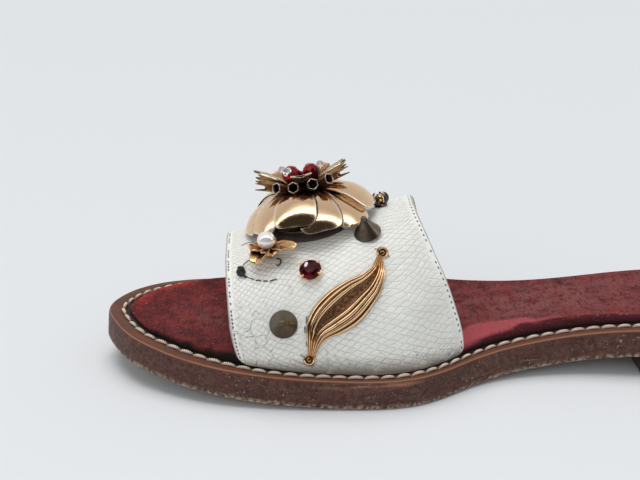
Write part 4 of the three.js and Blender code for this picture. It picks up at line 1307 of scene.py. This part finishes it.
def put(piece, place):
    """Moves a finished piece's points to its place on the shoe."""
    piece.data.transform(place)
    piece.data.update()
    return piece


def dress(piece, degrees, place, material, slot, *nodes):
    """Smooths a finished piece, puts it in its place and seats it."""
    smooth(piece, degrees)
    put(piece, place)
    seat_on_root(piece, material, slot, *nodes)


def crevices(piece, around):
    """Marks how closed in each point of a piece is by the metal around it, from 0 to 1 in a narrow gap."""
    corners, faces = [], []
    for solid in around:
        first = len(corners)
        corners += [vertex.co.copy() for vertex in solid.data.vertices]
        faces += [[first + index for index in face.vertices] for face in solid.data.polygons]
    tree = BVHTree.FromPolygons(corners, faces)
    reach = CREVICE["reach"] * MM
    turns = 2 * np.pi * np.arange(CREVICE["turns"]) / CREVICE["turns"]
    ways = [(math.cos(tilt), math.sin(tilt) * math.cos(turn), math.sin(tilt) * math.sin(turn))
            for tilt in np.radians(CREVICE["tilts"]) for turn in turns]
    closed = []
    for vertex in piece.data.vertices:
        out = vertex.normal
        side = out.orthogonal().normalized()
        other = out.cross(side)
        start = vertex.co + CREVICE["start"] * MM * out
        gaps = [tree.ray_cast(start, up * out + a * side + b * other, reach)[3] for up, a, b in ways]
        closed.append(sum(1 - gap / reach for gap in gaps if gap is not None) / len(ways))
    mark(piece, "crevice", np.array(closed))


flower_place = strap_seat(*FLOWER_SEAT)
petals = join("flower_petals_plate", [flower_petal(*row) for row in PETALS])
mark_petals(petals)
smooth(petals, 50)
put(petals, flower_place)
crevices(petals, [petals])


def over_metal(material, mask, colour, roughness):
    """Another colour and roughness on a plated metal where a mask says so."""
    shader = material.node_tree.nodes["Principled BSDF"]
    under = shader.inputs["Base Color"].links[0].from_socket
    smoother = shader.inputs["Roughness"].links[0].from_socket
    rough = add_node(material, "ShaderNodeMix", {0: mask, 2: smoother, 3: roughness}, data_type="FLOAT")
    set_shader(material, Base_Color=blend(material, mask, under, colour), Roughness=rough.outputs[0])
    return material


def shade_crevices(material, least, most):
    """Painted shade, dark brown and dull, on a metal where its crevices are closed in."""
    mask = spread(material, marked(material, "crevice"), least, most)
    return over_metal(material, mask, CREVICE_SHADE_BROWN, CREVICE["rough"])


rose_gold = plated_metal("rose_gold", ROSE_GOLD, ROSE_BROWN, 0.09, 0.10)
# Painted highlight, pale and duller, along the petals' rims.
over_metal(rose_gold, marked(rose_gold, "rim"), PETAL_RIM_HIGHLIGHT, 0.42)
shade_crevices(rose_gold, 0.09, 0.25)
seat_on_root(petals, rose_gold, "rose_gold", "flower_petals")

post = lathe("flower_backplate", POST_ROWS)
dark_bronze = plated_metal("dark_bronze", DARK_BRONZE, BRONZE_BLACK, 0.30)
dress(post, 40, flower_place, dark_bronze, "dark_bronze", "flower_post")


# Dark matt sheet: the backplate's edge and the petals' painted shade on the strap
def dark_sheet_and_shade():
    made = new_material("dark_sheet_and_shade", Roughness=0.55, Specular_IOR_Level=0.3)
    place = object_place(made)
    colour = blend(made, patches(made, place, 160, 0.35, 0.65), BACKPLATE_SHADE_BROWN, BACKPLATE_SHADE_BLACK)
    set_shader(made, Base_Color=colour, Normal=bump(made, patches(made, place, 900, 0.2, 0.8), 0.00005, 0.5))
    return made


# Painted shade of the petals on the strap, with the backplate's edge
backing = backplate_and_shade()
smooth(backing, 40)
seat_on_root(backing, dark_sheet_and_shade(), "dark_bronze")

# Crown of the flower
# Four thin pale leaves and a ring of twelve six-sided claw cups in antique gold, soldered to a small disc
# on top of the post. The cups are empty and dark inside, their worn lips bright. Painted shade darkens the
# crevices and the cups' outer walls towards their feet.

CROWN_DISC = ((0, 13.4), (7.3, 13.4), (7.6, 13.6), (7.6, 14.0), (7.3, 14.2), (0, 14.2))
CROWN_LEAF = {"from": 6.0, "root": 14.3, "sheet": 0.6}
# Each crown leaf's direction, length, half width and lift, and the height its line starts from
CROWN_LEAVES = ((0, 11.6, 2.6, 24, 15.0), (90, 8.0, 2.6, 2, 14.5), (180, 12.4, 2.3, 31, 15.4),
                (270, 9.0, 3.9, 13, 18.2))
CROWN_CUP = {"count": 12, "from": 6.6, "base": 14.0, "foot": 1.45, "mouth": 2.0, "length": 7.2, "lean": 68,
             "sides": 6, "sheet": 0.28, "flare": 0.12, "lip": 0.86}
CUP_CLAWS = (0.35, 4.0)  # worn short on the cups to the front and back, long on those at the sides
OLD_GOLD = (0.58, 0.315, 0.130, 1.0)
OLD_BROWN = (0.045, 0.021, 0.012, 1.0)
PALE_GOLD = (0.72, 0.62, 0.46, 1.0)
PALE_BROWN = (0.30, 0.22, 0.13, 1.0)
LIP_SILVER = (0.80, 0.77, 0.72, 1.0)


def crown_leaf(degrees, length, half_width, lift, base):
    """A pointed leaf with a ridge down its middle, bent up from the disc and out over the cups."""
    turn, slope = math.radians(degrees), math.radians(lift)

    def place(u, v):
        side = 2 * u - 1
        half = half_width * np.sin(np.pi * np.clip(0.10 + 0.90 * v, 0, 1)) ** 0.8
        reach = CROWN_LEAF["from"] + length * v * math.cos(slope)
        height = base + length * v * math.sin(slope) - (base - CROWN_LEAF["root"]) * (1 - v) ** 9
        height = height + 0.5 * np.abs(side) * half / half_width + 0.12 * np.cos(6 * np.pi * side)
        return swung(turn, reach, side * half, height)

    return sheet_metal(grid_piece("crown_leaf", 14, 18, place, 0.02 * MM), CROWN_LEAF["sheet"] * MM)


def claw_cup(claw):
    """A six-sided cup on +Z with a pointed claw on every other corner of its mouth."""
    sides, length, flare, lip = (CROWN_CUP[key] for key in ("sides", "length", "flare", "lip"))

    def wall(turn, v):
        from_flat = turn % (2 * np.pi / sides) - np.pi / sides
        round_wall = CROWN_CUP["foot"] + (CROWN_CUP["mouth"] - CROWN_CUP["foot"]) * v
        return round_wall * np.cos(np.pi / sides) / np.cos(from_flat)

    def point(turn):
        return (0.5 + 0.5 * np.cos(sides / 2 * turn)) ** 2

    def place(u, v):
        turn = 2 * np.pi * u
        radius = wall(turn, v) + flare * smooth_step(lip, 1, v)
        height = length * v + claw * point(turn) * smooth_step(lip, 1, v)
        return np.column_stack([radius * np.cos(turn), radius * np.sin(turn), height]) * MM

    cup = grid_piece("claw_cup", 48, 14, place, 0.005 * MM)
    sheet_metal(cup, CROWN_CUP["sheet"] * MM)
    x, y, z = points_of(cup).T
    turn, gap = np.arctan2(y, x), np.hypot(x, y) / MM
    share = np.clip(z / (length * MM), 0, 1)
    middle_of_sheet = CROWN_CUP["sheet"] / 2
    inside = gap < wall(turn, share) + flare * smooth_step(lip, 1, share) - middle_of_sheet
    worn_lip = 1 / (1 + claw)
    at_mouth = smooth_step(0.91, 0.96, z / MM / (length + claw * point(turn)))
    mark(cup, "lip", worn_lip * at_mouth * (1 - 0.55 * point(turn)))
    dark_tip = 0.6 * smooth_step(length + 1.2, length + 3.6, z / MM)
    # Outside, the patina deepens towards each cup's foot: painted shade between the cups
    mark(cup, "patina", np.where(inside, 0.62, 0.30 + 0.40 * (1 - share) + dark_tip))
    return cup


def crown_gold():
    made = plated_metal("old_gold", OLD_GOLD, OLD_BROWN, 0.28)
    return over_metal(made, marked(made, "lip"), LIP_SILVER, 0.35)


cup_places = {claw: [] for claw in CUP_CLAWS}
for step in range(CROWN_CUP["count"]):
    turn = (step + 0.5) * 2 * math.pi / CROWN_CUP["count"]
    lean = Matrix.Rotation(math.radians(CROWN_CUP["lean"]), 4, "Y")
    out = Matrix.Translation(Vector((CROWN_CUP["from"], 0, CROWN_CUP["base"])) * MM)
    claw = CUP_CLAWS[abs(math.cos(turn)) > 0.9]
    cup_places[claw].append(Matrix.Rotation(turn, 4, "Z") @ out @ lean)
cups = [copies("cups", claw_cup(claw), places) for claw, places in cup_places.items()]
old_gold = crown_gold()
crown_disc = lathe("crown_disc", CROWN_DISC)
mark(crown_disc, "patina", np.full(len(crown_disc.data.vertices), 0.9))
crown = join("flower_crown_cups", [*cups, crown_disc])
smooth(crown, 40)
put(crown, flower_place)
leaves = join("flower_crown_leaves", [crown_leaf(*row) for row in CROWN_LEAVES])
smooth(leaves, 50)
put(leaves, flower_place)
crevices(crown, [crown, leaves])
crevices(leaves, [crown, leaves])
shade_crevices(old_gold, 0.26, 0.62)
seat_on_root(crown, old_gold, "old_gold", "flower_crown")
pale_gold = shade_crevices(plated_metal("pale_gold", PALE_GOLD, PALE_BROWN, 0.33), 0.12, 0.34)
seat_on_root(leaves, pale_gold, "old_gold")

# Beads of the crown
# A red tube bead with a rhinestone rondelle on its end, a red faceted bead and two small clear ones,
# wired down in the middle of the crown.

RED_BEAD = {"radius": 3.25, "height": 17.9, "left": (-3.1, -0.8), "right": (3.6, 0.4)}
CLEAR_BEAD = {"radius": 1.5, "reach": 5.05, "left": (-3.3, 2.7, 2.0), "right": (3.6, 3.25, 1.3)}
ROUND_BEAD_WAY = (0.3, -0.4, 0.9)
TUBE_WAY = (-0.44, -0.60, 0.62)
TUBE_ROWS = ((0, -3.2), (2.3, -3.2), (2.85, -2.7), (3.1, -1.6), (3.15, 0), (3.1, 1.6), (2.85, 2.7),
             (2.3, 3.2), (0, 3.2))
RONDELLE_ROWS = ((0.8, 3.1), (1.5, 3.1), (1.75, 3.35), (1.7, 3.7), (1.45, 3.85), (1.15, 3.7), (0.9, 3.4),
                 (0.8, 3.1))
CHATON_ROWS = ((0, 3.2), (1.3, 3.45), (1.35, 3.6), (0.8, 4.1), (0, 4.1))
RED_GLASS = (0.235, 0.006, 0.013, 1.0)
# Painted glint on the cut glass
PAINTED_GLINT_PINK = (0.85, 0.72, 0.72, 1.0)
CLEAR_GLASS = (0.92, 0.90, 0.90, 1.0)
RONDELLE_SILVER = (0.86, 0.85, 0.84, 1.0)
SILVER_GREY = (0.30, 0.28, 0.26, 1.0)


def cut_glass(name, colour, through, sparkle=0.0):
    """Cut glass; sparkle is the size in metres of the dark and bright flashes of its facets, painted
    reflections in its colour.
    """
    made = new_material(name, Base_Color=colour, Roughness=0.04, IOR=1.55, Transmission_Weight=through,
                        Specular_IOR_Level=0.16 if sparkle else 0.55)
    place = object_place(made)
    flaws = patches(made, place, 900, 0.3, 0.8, 2.0)
    set_shader(made, Normal=bump(made, flaws, 0.00001, 0.25))
    if sparkle:
        # Painted reflections: dark and bright facets and a pale glint, set at random over the glass
        cells = add_node(made, "ShaderNodeTexVoronoi", {"Vector": place, "Scale": 1 / sparkle}, feature="F1")
        draw = add_node(made, "ShaderNodeSeparateColor", {0: cells.outputs["Color"]}).outputs["Red"]
        lit = blend(made, spread(made, draw, 0.15, 0.75), (*(0.22 * c for c in colour[:3]), 1.0), colour)
        lit = blend(made, spread(made, draw, 0.78, 0.84), lit, (*(1.9 * c for c in colour[:3]), 1.0))
        lit = blend(made, calculate(made, "GREATER_THAN", draw, 0.955), lit, PAINTED_GLINT_PINK)
        set_shader(made, Base_Color=lit)
    return made


def faceted_bead(name, radius, squeeze):
    """A round bead ground with rows of flat facets, its two ends cut flat at the drilled hole."""
    sides, rows = 9, 4

    def place(u, v):
        ring = np.rint(v * rows)
        turn = 2 * np.pi * (u + 0.5 * (ring % 2) / sides)
        angle = np.pi * (0.10 + 0.80 * v)
        flat = np.where((ring == 0) | (ring == rows), 0.30, np.sin(angle))
        return np.column_stack([radius * flat * np.cos(turn), radius * flat * np.sin(turn),
                                -radius * squeeze * np.cos(angle)]) * MM

    bead = grid_piece(name, sides, rows, place, 0.005 * MM)
    bpy.ops.object.mode_set(mode="EDIT")
    bpy.ops.mesh.select_all(action="SELECT")
    bpy.ops.mesh.fill_holes(sides=0)
    bpy.ops.mesh.select_all(action="SELECT")
    bpy.ops.mesh.quads_convert_to_tris()
    bpy.ops.mesh.normals_make_consistent(inside=False)
    bpy.ops.mesh.bevel(offset=0.02 * radius * MM, segments=1, affect="EDGES")
    bpy.ops.object.mode_set(mode="OBJECT")
    return bead


def facing(direction, centre):
    """A place whose +Z points along a direction, in the flower's own frame."""
    turn = Vector(direction).to_track_quat("Z", "Y").to_matrix().to_4x4()
    return flower_place @ Matrix.Translation(Vector(centre) * MM) @ turn


red_glass = cut_glass("red_glass", RED_GLASS, 0.0, 2.4 * MM)
clear_glass = cut_glass("clear_glass", CLEAR_GLASS, 0.85)
bead_centres = {side: (*RED_BEAD[side], RED_BEAD["height"]) for side in ("left", "right")}
round_bead = faceted_bead("red_bead_faceted", RED_BEAD["radius"], 0.95)
put(round_bead, facing(ROUND_BEAD_WAY, bead_centres["right"]))
seat_on_root(round_bead, red_glass, "red_glass", "red_bead_right")
tube_place = facing(TUBE_WAY, bead_centres["left"])
dress(lathe("red_bead_tube", TUBE_ROWS, 24), 40, tube_place, red_glass, "red_glass", "red_bead_left")
bright_silver = plated_metal("bright_silver", RONDELLE_SILVER, SILVER_GREY, 0.15)
dress(lathe("bead_rondelle", RONDELLE_ROWS, 24), 40, tube_place, bright_silver, "clear_glass")
chaton = lathe("rondelle_stone", CHATON_ROWS, 8)
put(chaton, tube_place)
seat_on_root(chaton, clear_glass, "clear_glass")
for side in ("left", "right"):
    way = Vector(CLEAR_BEAD[side]).normalized()
    centre = Vector(bead_centres[side]) + CLEAR_BEAD["reach"] * way
    small_bead = faceted_bead("clear_bead_cut_" + side, CLEAR_BEAD["radius"], 0.9)
    put(small_bead, facing(way, centre))
    seat_on_root(small_bead, clear_glass, "clear_glass", "clear_bead_" + side)

# Blossom and pearl
# A small cast blossom of five curled petals in yellow gold on a short stem, with a pearl set in its heart.

BLOSSOM_SEAT = (0.227, 66.6)
BLOSSOM_LEAN = 16
BLOSSOM_STEM_SINK = 1.6
BLOSSOM_PETAL = {"from": 0.9, "half": 3.5, "sheet": 0.6}
# Each petal's direction, its length, how far its tip drops, and how much its end curls up
BLOSSOM_PETALS = ((-22, 10.4, 1.6, 1.4), (-72, 6.8, 1.6, 1.2), (-121, 8.8, 3.0, 0.8), (-160, 6.2, 0.8, 1.4),
                  (95, 5.6, 1.0, 0.4))
STEM_ROWS = ((0, 0), (1.6, 0), (1.5, 0.6), (1.3, 2.2), (1.7, 2.7), (2.4, 3.3), (0, 3.4))
PEARL = {"radius": 3.25, "height": 5.95}
YELLOW_GOLD = (0.82, 0.52, 0.255, 1.0)
YELLOW_BROWN = (0.30, 0.105, 0.040, 1.0)
PEARL_WHITE = (0.92, 0.905, 0.88, 1.0)
PEARL_BLUSH = (0.88, 0.84, 0.81, 1.0)


def blossom_petal(turn, length, drop, curl):
    angle = math.radians(turn)

    def place(u, v):
        side = 2 * u - 1
        swell = np.sin(np.pi * np.minimum(v * 0.86 + 0.02, 1)) ** 0.85
        half = 0.5 + BLOSSOM_PETAL["half"] * swell * (1 - 0.25 * v)
        reach = BLOSSOM_PETAL["from"] + (length - BLOSSOM_PETAL["from"]) * v
        height = 2.5 + 1.7 * np.sin(np.pi * 0.75 * v) - drop * v ** 2 + curl * smooth_step(0.55, 1, v)
        height = height + 1.3 * side ** 2 * (1 - 0.4 * v) - 0.55 * np.exp(-(side / 0.16) ** 2) * v
        return swung(angle, reach, side * half, height)

    return sheet_metal(grid_piece("blossom_petal", 16, 18, place, 0.02 * MM), BLOSSOM_PETAL["sheet"] * MM)


blossom_place = strap_seat(*BLOSSOM_SEAT)
lift = Matrix.Translation((0, 0, BLOSSOM_STEM_SINK * MM * math.sin(math.radians(BLOSSOM_LEAN))))
blossom_place = blossom_place @ lift @ Matrix.Rotation(math.radians(-BLOSSOM_LEAN), 4, "X")
stem = lathe("blossom_stem", STEM_ROWS, 20)
blossom = join("blossom_petals", [blossom_petal(*row) for row in BLOSSOM_PETALS] + [stem])
x, y, _ = points_of(blossom).T
vein = 0.5 + 0.5 * np.sin(17 * np.arctan2(y, x))
bright = smooth_step(2.0 * MM + 2.5 * MM * vein, 6.0 * MM + 3.0 * MM * vein, np.hypot(x, y))
mark(blossom, "patina", 0.9 * (1 - bright))
smooth(blossom, 50)
put(blossom, blossom_place)
crevices(blossom, [blossom])
yellow_gold = shade_crevices(plated_metal("yellow_gold", YELLOW_GOLD, YELLOW_BROWN, 0.20), 0.14, 0.50)
seat_on_root(blossom, yellow_gold, "yellow_gold", "blossom")

pearl_rows = [(PEARL["radius"] * math.sin(a), PEARL["height"] - PEARL["radius"] * math.cos(a))
              for a in np.linspace(0.12, math.pi, 24)]
pearl = lathe("pearl_bead", [(0, PEARL["height"] - 2.6), (0.3, PEARL["height"] - 2.9)] + pearl_rows, 40)
smooth(pearl, 50)
put(pearl, blossom_place)


def pearl_lustre():
    made = new_material("pearl_lustre", Roughness=0.20, Metallic=0.45, Coat_Weight=0.8, Coat_Roughness=0.06)
    place = object_place(made)
    colour = blend(made, patches(made, place, 180, 0.35, 0.65), PEARL_WHITE, PEARL_BLUSH)
    set_shader(made, Base_Color=colour, Normal=bump(made, patches(made, place, 500, 0.2, 0.8), 0.00003, 0.3))
    return made


seat_on_root(pearl, pearl_lustre(), "pearl_plastic", "pearl")

# Red stone
# A round-cut red stone held by four claws in a small yellow-gold cup riveted to the strap.

STONE_SEAT = (0.414, 52.4)
STONE_ROWS = ((0.0, 0.7), (2.0, 0.7), (3.8, 1.8), (3.8, 2.1), (3.1, 2.95), (2.1, 3.6), (0.0, 3.6))
SETTING_ROWS = ((0, 0.4), (3.15, 0.4), (3.3, 0.9), (3.2, 1.35), (3.6, 1.7), (3.85, 1.65), (3.9, 1.45),
                (3.75, 0.8), (3.4, 0.1), (3.3, 0), (0, 0))
CLAW_TURNS = (38, 142, 222, 322)
STONE_CLAW = ((3.75, 0.7), (3.95, 1.6), (3.9, 2.2), (3.6, 2.6), (3.25, 2.9))  # reach and height
GARNET_RED = (0.058, 0.0015, 0.0035, 1.0)

stone_place = strap_seat(*STONE_SEAT)
stone = lathe("cut_stone", STONE_ROWS, 16)
put(stone, stone_place)
garnet_glass = cut_glass("garnet_glass", GARNET_RED, 0.0, 1.5 * MM)
seat_on_root(stone, garnet_glass, "red_glass", "stone")


def stone_claw(turn):
    """A claw from the cup's side, bent over the stone's edge with a round tip."""
    def place(u, v):
        bend = np.array(STONE_CLAW)
        spot = v * (len(bend) - 1)
        reach = np.interp(spot, np.arange(len(bend)), bend[:, 0])
        height = np.interp(spot, np.arange(len(bend)), bend[:, 1])
        thick = 0.42 * np.sqrt(np.maximum(0, 1 - (2 * v - 1) ** 6))
        ring = 2 * np.pi * u
        height = height + 0.25 * thick * np.cos(ring)
        return swung(turn, reach + thick * np.cos(ring), thick * np.sin(ring), height)

    return grid_piece("stone_claw", 10, 16, place, 0.01 * MM)


stone_cup = lathe("cup", SETTING_ROWS, 40)
setting = join("stone_cup", [stone_cup] + [stone_claw(math.radians(turn)) for turn in CLAW_TURNS])
dress(setting, 40, stone_place, yellow_gold, "yellow_gold", "stone_setting")

# Leaf brooch
# A pressed S-shaped leaf in old gold, ribbed along both flanks with a dull textured heart, riveted
# through a ring eyelet at each end.

LEAF_SEAT = (0.549, 35.5)
# The leaf's middle line from tip to tail: heelward, up the instep, and half its width there
LEAF_LINE = ((14.8, 13.6, 0.9), (12.5, 8.2, 2.7), (8.4, 4.1, 4.6), (3.1, 0.9, 6.2), (-2.4, -2.6, 6.9),
             (-7.9, -6.1, 6.2), (-12.1, -9.4, 4.6), (-14.9, -13.4, 2.7), (-17.5, -19.4, 1.0))
LEAF_RELIEF = (0.5, 1.9, 2.6, 1.8, 1.7, 2.5, 2.7, 1.9, 0.5)  # across, from far to near edge
LEAF_HEART = {"middle": -0.11, "half": 0.23, "from": 0.08, "to": 0.80}
LEAF_RIBS = {"near": 4, "far": 3, "height": 0.6}
EYELETS = ((16.2, 14.5), (-18.7, -20.6))
EYELET_ROWS = ((0, 0.0), (1.9, 0.0), (2.1, 0.3), (2.05, 0.75), (1.75, 1.0), (1.4, 0.85), (1.2, 0.45),
               (0.9, 0.4), (0.8, 0.7), (0.45, 0.8), (0.25, 0.45), (0, 0.4))
LEAF_GOLD = (0.92, 0.60, 0.34, 1.0)
LEAF_BROWN = (0.062, 0.017, 0.006, 1.0)
HEART_BROWN = (0.120, 0.058, 0.034, 1.0)
HEART_COPPER = (0.34, 0.180, 0.092, 1.0)


def build_leaf():
    stations, columns = 140, 88
    line = open_spline(LEAF_LINE, stations + 1)
    way = np.gradient(line[:, :2], axis=0)
    way /= np.linalg.norm(way, axis=1, keepdims=True)
    shares = np.linspace(0, 1, stations + 1)[:, None]
    side = np.linspace(-1, 1, columns + 1)[None, :]
    taper = np.clip(np.minimum(shares, 1 - shares) / 0.12, 0, 1)
    dome = np.interp(side, np.linspace(-1, 1, len(LEAF_RELIEF)), LEAF_RELIEF)
    dome = dome * (0.35 + 0.65 * np.sqrt(taper))
    reach = (shares - LEAF_HEART["from"]) / (LEAF_HEART["to"] - LEAF_HEART["from"])
    heart = LEAF_HEART["half"] * np.sin(np.pi * np.clip(reach, 0, 1)) ** 0.7
    offset = side - LEAF_HEART["middle"]
    room = 1 - np.sign(offset) * LEAF_HEART["middle"] - heart
    flank = np.clip((np.abs(offset) - heart) / room, 0, 1)
    ribs = np.where(offset > 0, LEAF_RIBS["near"], LEAF_RIBS["far"])
    ridge = np.abs(np.sin(np.pi * flank * ribs))
    in_heart = smooth_step(-0.02, 0.03, heart - np.abs(offset))
    height = dome + LEAF_RIBS["height"] * (ridge - 0.5) * (1 - in_heart) * (0.3 + 0.7 * taper)
    heelward = line[:, :1] - side * line[:, 2:] * way[:, 1:]
    upward = line[:, 1:2] + side * line[:, 2:] * way[:, :1]
    points = over_strap(LEAF_SEAT, heelward * MM, upward * MM, height * MM + SEATED)
    base = over_strap(LEAF_SEAT, heelward * MM, upward * MM, np.full(height.shape, SEATED))
    at_edge = np.abs(side) > 0.999
    points = np.where(at_edge[..., None], base, points)

    def place(u, v):
        return points[np.rint(v * stations).astype(int), np.rint(u * columns).astype(int)]

    piece = grid_piece("leaf_plate", columns, stations, place)
    mark(piece, "patina", ((1 - smooth_step(0.16, 0.66, ridge)) * (1 - in_heart)).ravel())
    mark(piece, "heart", in_heart.ravel())
    bpy.ops.object.mode_set(mode="EDIT")
    bpy.ops.mesh.select_all(action="SELECT")
    bpy.ops.mesh.normals_make_consistent(inside=False)
    bpy.ops.mesh.fill_holes(sides=0)
    bpy.ops.object.mode_set(mode="OBJECT")
    return piece


def ring_eyelet(heelward, upward):
    """A ring with a rivet head in its middle, flat on the strap."""
    ring = lathe("eyelet", EYELET_ROWS, 32)
    x, y, _ = points_of(ring).T
    gap = np.hypot(x, y) / MM
    mark(ring, "patina", 0.20 + np.exp(-((gap - 1.1) / 0.25) ** 2) + np.exp(-(gap / 0.35) ** 2))
    centre = Vector(over_strap(LEAF_SEAT, np.array(heelward * MM), np.array(upward * MM), np.array(SEATED)))
    out = strap_seat(*LEAF_SEAT).to_3x3().col[2]
    turn = out.to_track_quat("Z", "Y").to_matrix().to_4x4()
    return put(ring, Matrix.Translation(centre) @ turn)


def leaf_gold():
    made = plated_metal("leaf_gold", LEAF_GOLD, LEAF_BROWN, 0.15)
    stipple = patches(made, object_place(made), 1500, 0.45, 0.62, 4.0)
    return over_metal(made, marked(made, "heart"), blend(made, stipple, HEART_BROWN, HEART_COPPER), 0.66)


leaf = join("leaf_plate", [build_leaf()] + [ring_eyelet(*spot) for spot in EYELETS])
smooth(leaf, 60)
seat_on_root(leaf, leaf_gold(), "old_gold", "leaf_brooch")

# Studs
# Two turned cone studs of blackened bronze, screwed through the strap, and a small claw on its far side.

CONE_SEATS = {"cone_stud_top": (0.727, 70), "cone_stud_side": (0.243, 24.5)}
# Each sits a little askew: its lean, the axis of that, and how far it is moved up the strap and out
CONE_SETS = {"cone_stud_top": (-9, "Y", 1.2, 0.0), "cone_stud_side": (-7, "X", 0.0, -0.3)}
CONE_ROWS = ((0, 0), (4.6, 0), (4.8, 0.2), (4.8, 0.55), (4.65, 0.75), (1.25, 6.2), (1.0, 6.25), (1.1, 6.6),
             (1.05, 7.1), (0.75, 7.5), (0.4, 7.7), (0, 7.8))
CLAW_SEAT = (0.827, 95)
CLAWS = 6
CLAW_BEND = ((1.1, 0.5), (2.4, 1.0), (3.0, 2.2), (2.9, 3.4), (2.3, 4.4), (1.4, 4.9))  # reach and height
CLAW_FOOT_ROWS = ((0, 0), (2.2, 0), (2.4, 0.2), (2.2, 0.7), (1.5, 1.0), (0, 1.1))
CLAW_CORE_ROWS = ((0, 1.0), (1.0, 1.1), (1.7, 1.9), (1.9, 2.8), (1.6, 3.7), (0.9, 4.3), (0, 4.5))
BRONZE = (0.165, 0.132, 0.098, 1.0)
STUD_BLACK = (0.06, 0.048, 0.038, 1.0)

stud_bronze = plated_metal("stud_bronze", BRONZE, STUD_BLACK, 0.33, 0.6)
for node, seat in CONE_SEATS.items():
    stud = lathe(node + "_turned", CONE_ROWS, 56)
    tilt, round_axis, upward, outward = CONE_SETS[node]
    moved = Matrix.Translation(Vector((0, upward, outward)) * MM)
    stud_place = strap_seat(*seat) @ moved @ Matrix.Rotation(math.radians(tilt), 4, round_axis)
    dress(stud, 35, stud_place, stud_bronze, "dark_bronze", node)


def bent_claw(turn):
    """A claw from the middle of the foot, out round the core and in to a point over it."""
    steps = 20
    bend = open_spline(CLAW_BEND, steps + 1)

    def place(u, v):
        row = np.rint(v * steps).astype(int)
        thick = 0.62 * np.sqrt(np.maximum(0, 1 - v ** 1.6)) + 0.03
        ring = 2 * np.pi * u
        return swung(turn, bend[row, 0] + thick * np.cos(ring), thick * np.sin(ring), bend[row, 1])

    return grid_piece("bent_claw", 10, steps, place, 0.01 * MM, fill=True)


claw_place = strap_seat(*CLAW_SEAT)
claw_foot = lathe("claw_foot", CLAW_FOOT_ROWS, 30)
bent_claws = [bent_claw(2 * np.pi * step / CLAWS) for step in range(CLAWS)]
claw_piece = join("claw_ornament_cast", [claw_foot] + bent_claws)
dress(claw_piece, 45, claw_place, dark_bronze, "dark_bronze", "claw_ornament")
dress(lathe("claw_core", CLAW_CORE_ROWS, 20), 45, claw_place, yellow_gold, "yellow_gold")

# Tacking threads
# Ends and tacks of the black thread and wire that hold the ornaments down, left on the strap's face.

THREAD_BLACK = (0.016, 0.015, 0.017, 1.0)
THREAD_DUSTY = (0.045, 0.042, 0.042, 1.0)
# Each bit of thread: its thickness and its arch over the strap, then the places it runs through
THREADS = (
    (0.34, 0.9, (0.153, 66.0), (0.128, 65.2), (0.107, 63.2), (0.092, 61.0), (0.080, 57.4)),
    (0.95, 0.9, (0.062, 61.8), (0.088, 60.4), (0.098, 57.0), (0.082, 54.4), (0.066, 57.0), (0.076, 59.7),
     (0.092, 58.2)),
    (0.90, 1.1, (0.066, 59.8), (0.084, 56.4), (0.104, 53.4)),
    (0.85, 1.3, (0.064, 55.6), (0.085, 58.2), (0.102, 59.0)),
    (0.38, 0.3, (0.100, 54.6), (0.118, 53.2)), (0.34, 0.3, (0.120, 52.9), (0.144, 51.6)),
    (0.36, 0.3, (0.148, 51.2), (0.176, 50.5)), (0.36, 0.3, (0.182, 50.2), (0.208, 49.9)),
    (0.40, 0.3, (0.214, 49.8), (0.252, 50.4)),
    (0.22, 0.3, (0.083, 80.8), (0.109, 82.0), (0.135, 82.2), (0.156, 82.5)),
    (0.26, 0.4, (0.359, 53.6), (0.374, 55.9), (0.388, 57.6)),
    (0.55, 1.2, (0.257, 64.5), (0.276, 62.6), (0.281, 60.3), (0.268, 58.5), (0.254, 60.2)),
    (0.26, 0.3, (0.352, 28.6), (0.342, 25.0)), (0.26, 0.3, (0.333, 23.4), (0.325, 19.4)),
    (0.26, 0.3, (0.322, 15.4), (0.319, 12.6)),
    (0.24, 0.4, (0.734, 60.4), (0.750, 58.4)), (0.24, 0.4, (0.780, 56.0), (0.787, 53.2)),
    (0.24, 0.4, (0.282, 8.8), (0.296, 7.6)), (0.24, 0.4, (0.310, 5.0), (0.322, 3.0)),
    (0.22, 0.3, (0.727, 43.8), (0.720, 40.6)),
)


def thread(thickness, arch, *spots):
    """A bit of thread through places on the strap, given as along and turn, arched between its ends."""
    steps = 24
    line = open_spline(spots, steps + 1)
    turns = np.radians(line[:, 1])
    out = strap_normal(line[:, 0], turns)
    rise = arch * MM * np.sin(np.pi * np.linspace(0, 1, steps + 1)) ** 0.6
    middle = strap_face(line[:, 0], turns, 0) + out * rise[:, None]
    across = np.cross(np.gradient(middle, axis=0), out)
    across /= np.linalg.norm(across, axis=1, keepdims=True)

    def place(u, v):
        row = np.rint(v * steps).astype(int)
        thick = (0.5 * thickness * MM * np.sqrt(np.maximum(0.01, 1 - (2 * v - 1) ** 8)))[:, None]
        ring = 2 * np.pi * u[:, None]
        return middle[row] + thick * (np.cos(ring) * across[row] + np.sin(ring) * out[row])

    return grid_piece("thread", 8, steps, place, 0.005 * MM, fill=True)


threads = join("tacking_threads", [thread(*row) for row in THREADS])
smooth(threads, 60)


def black_thread():
    made = new_material("black_thread", Roughness=0.8, Specular_IOR_Level=0.2)
    fibres = patches(made, object_place(made), 4200, 0.25, 0.75, 3.0)
    colour = blend(made, fibres, THREAD_BLACK, THREAD_DUSTY)
    set_shader(made, Base_Color=colour, Normal=bump(made, fibres, 0.00004, 0.6))
    return made


seat_on_root(threads, black_thread(), "scale_leather")
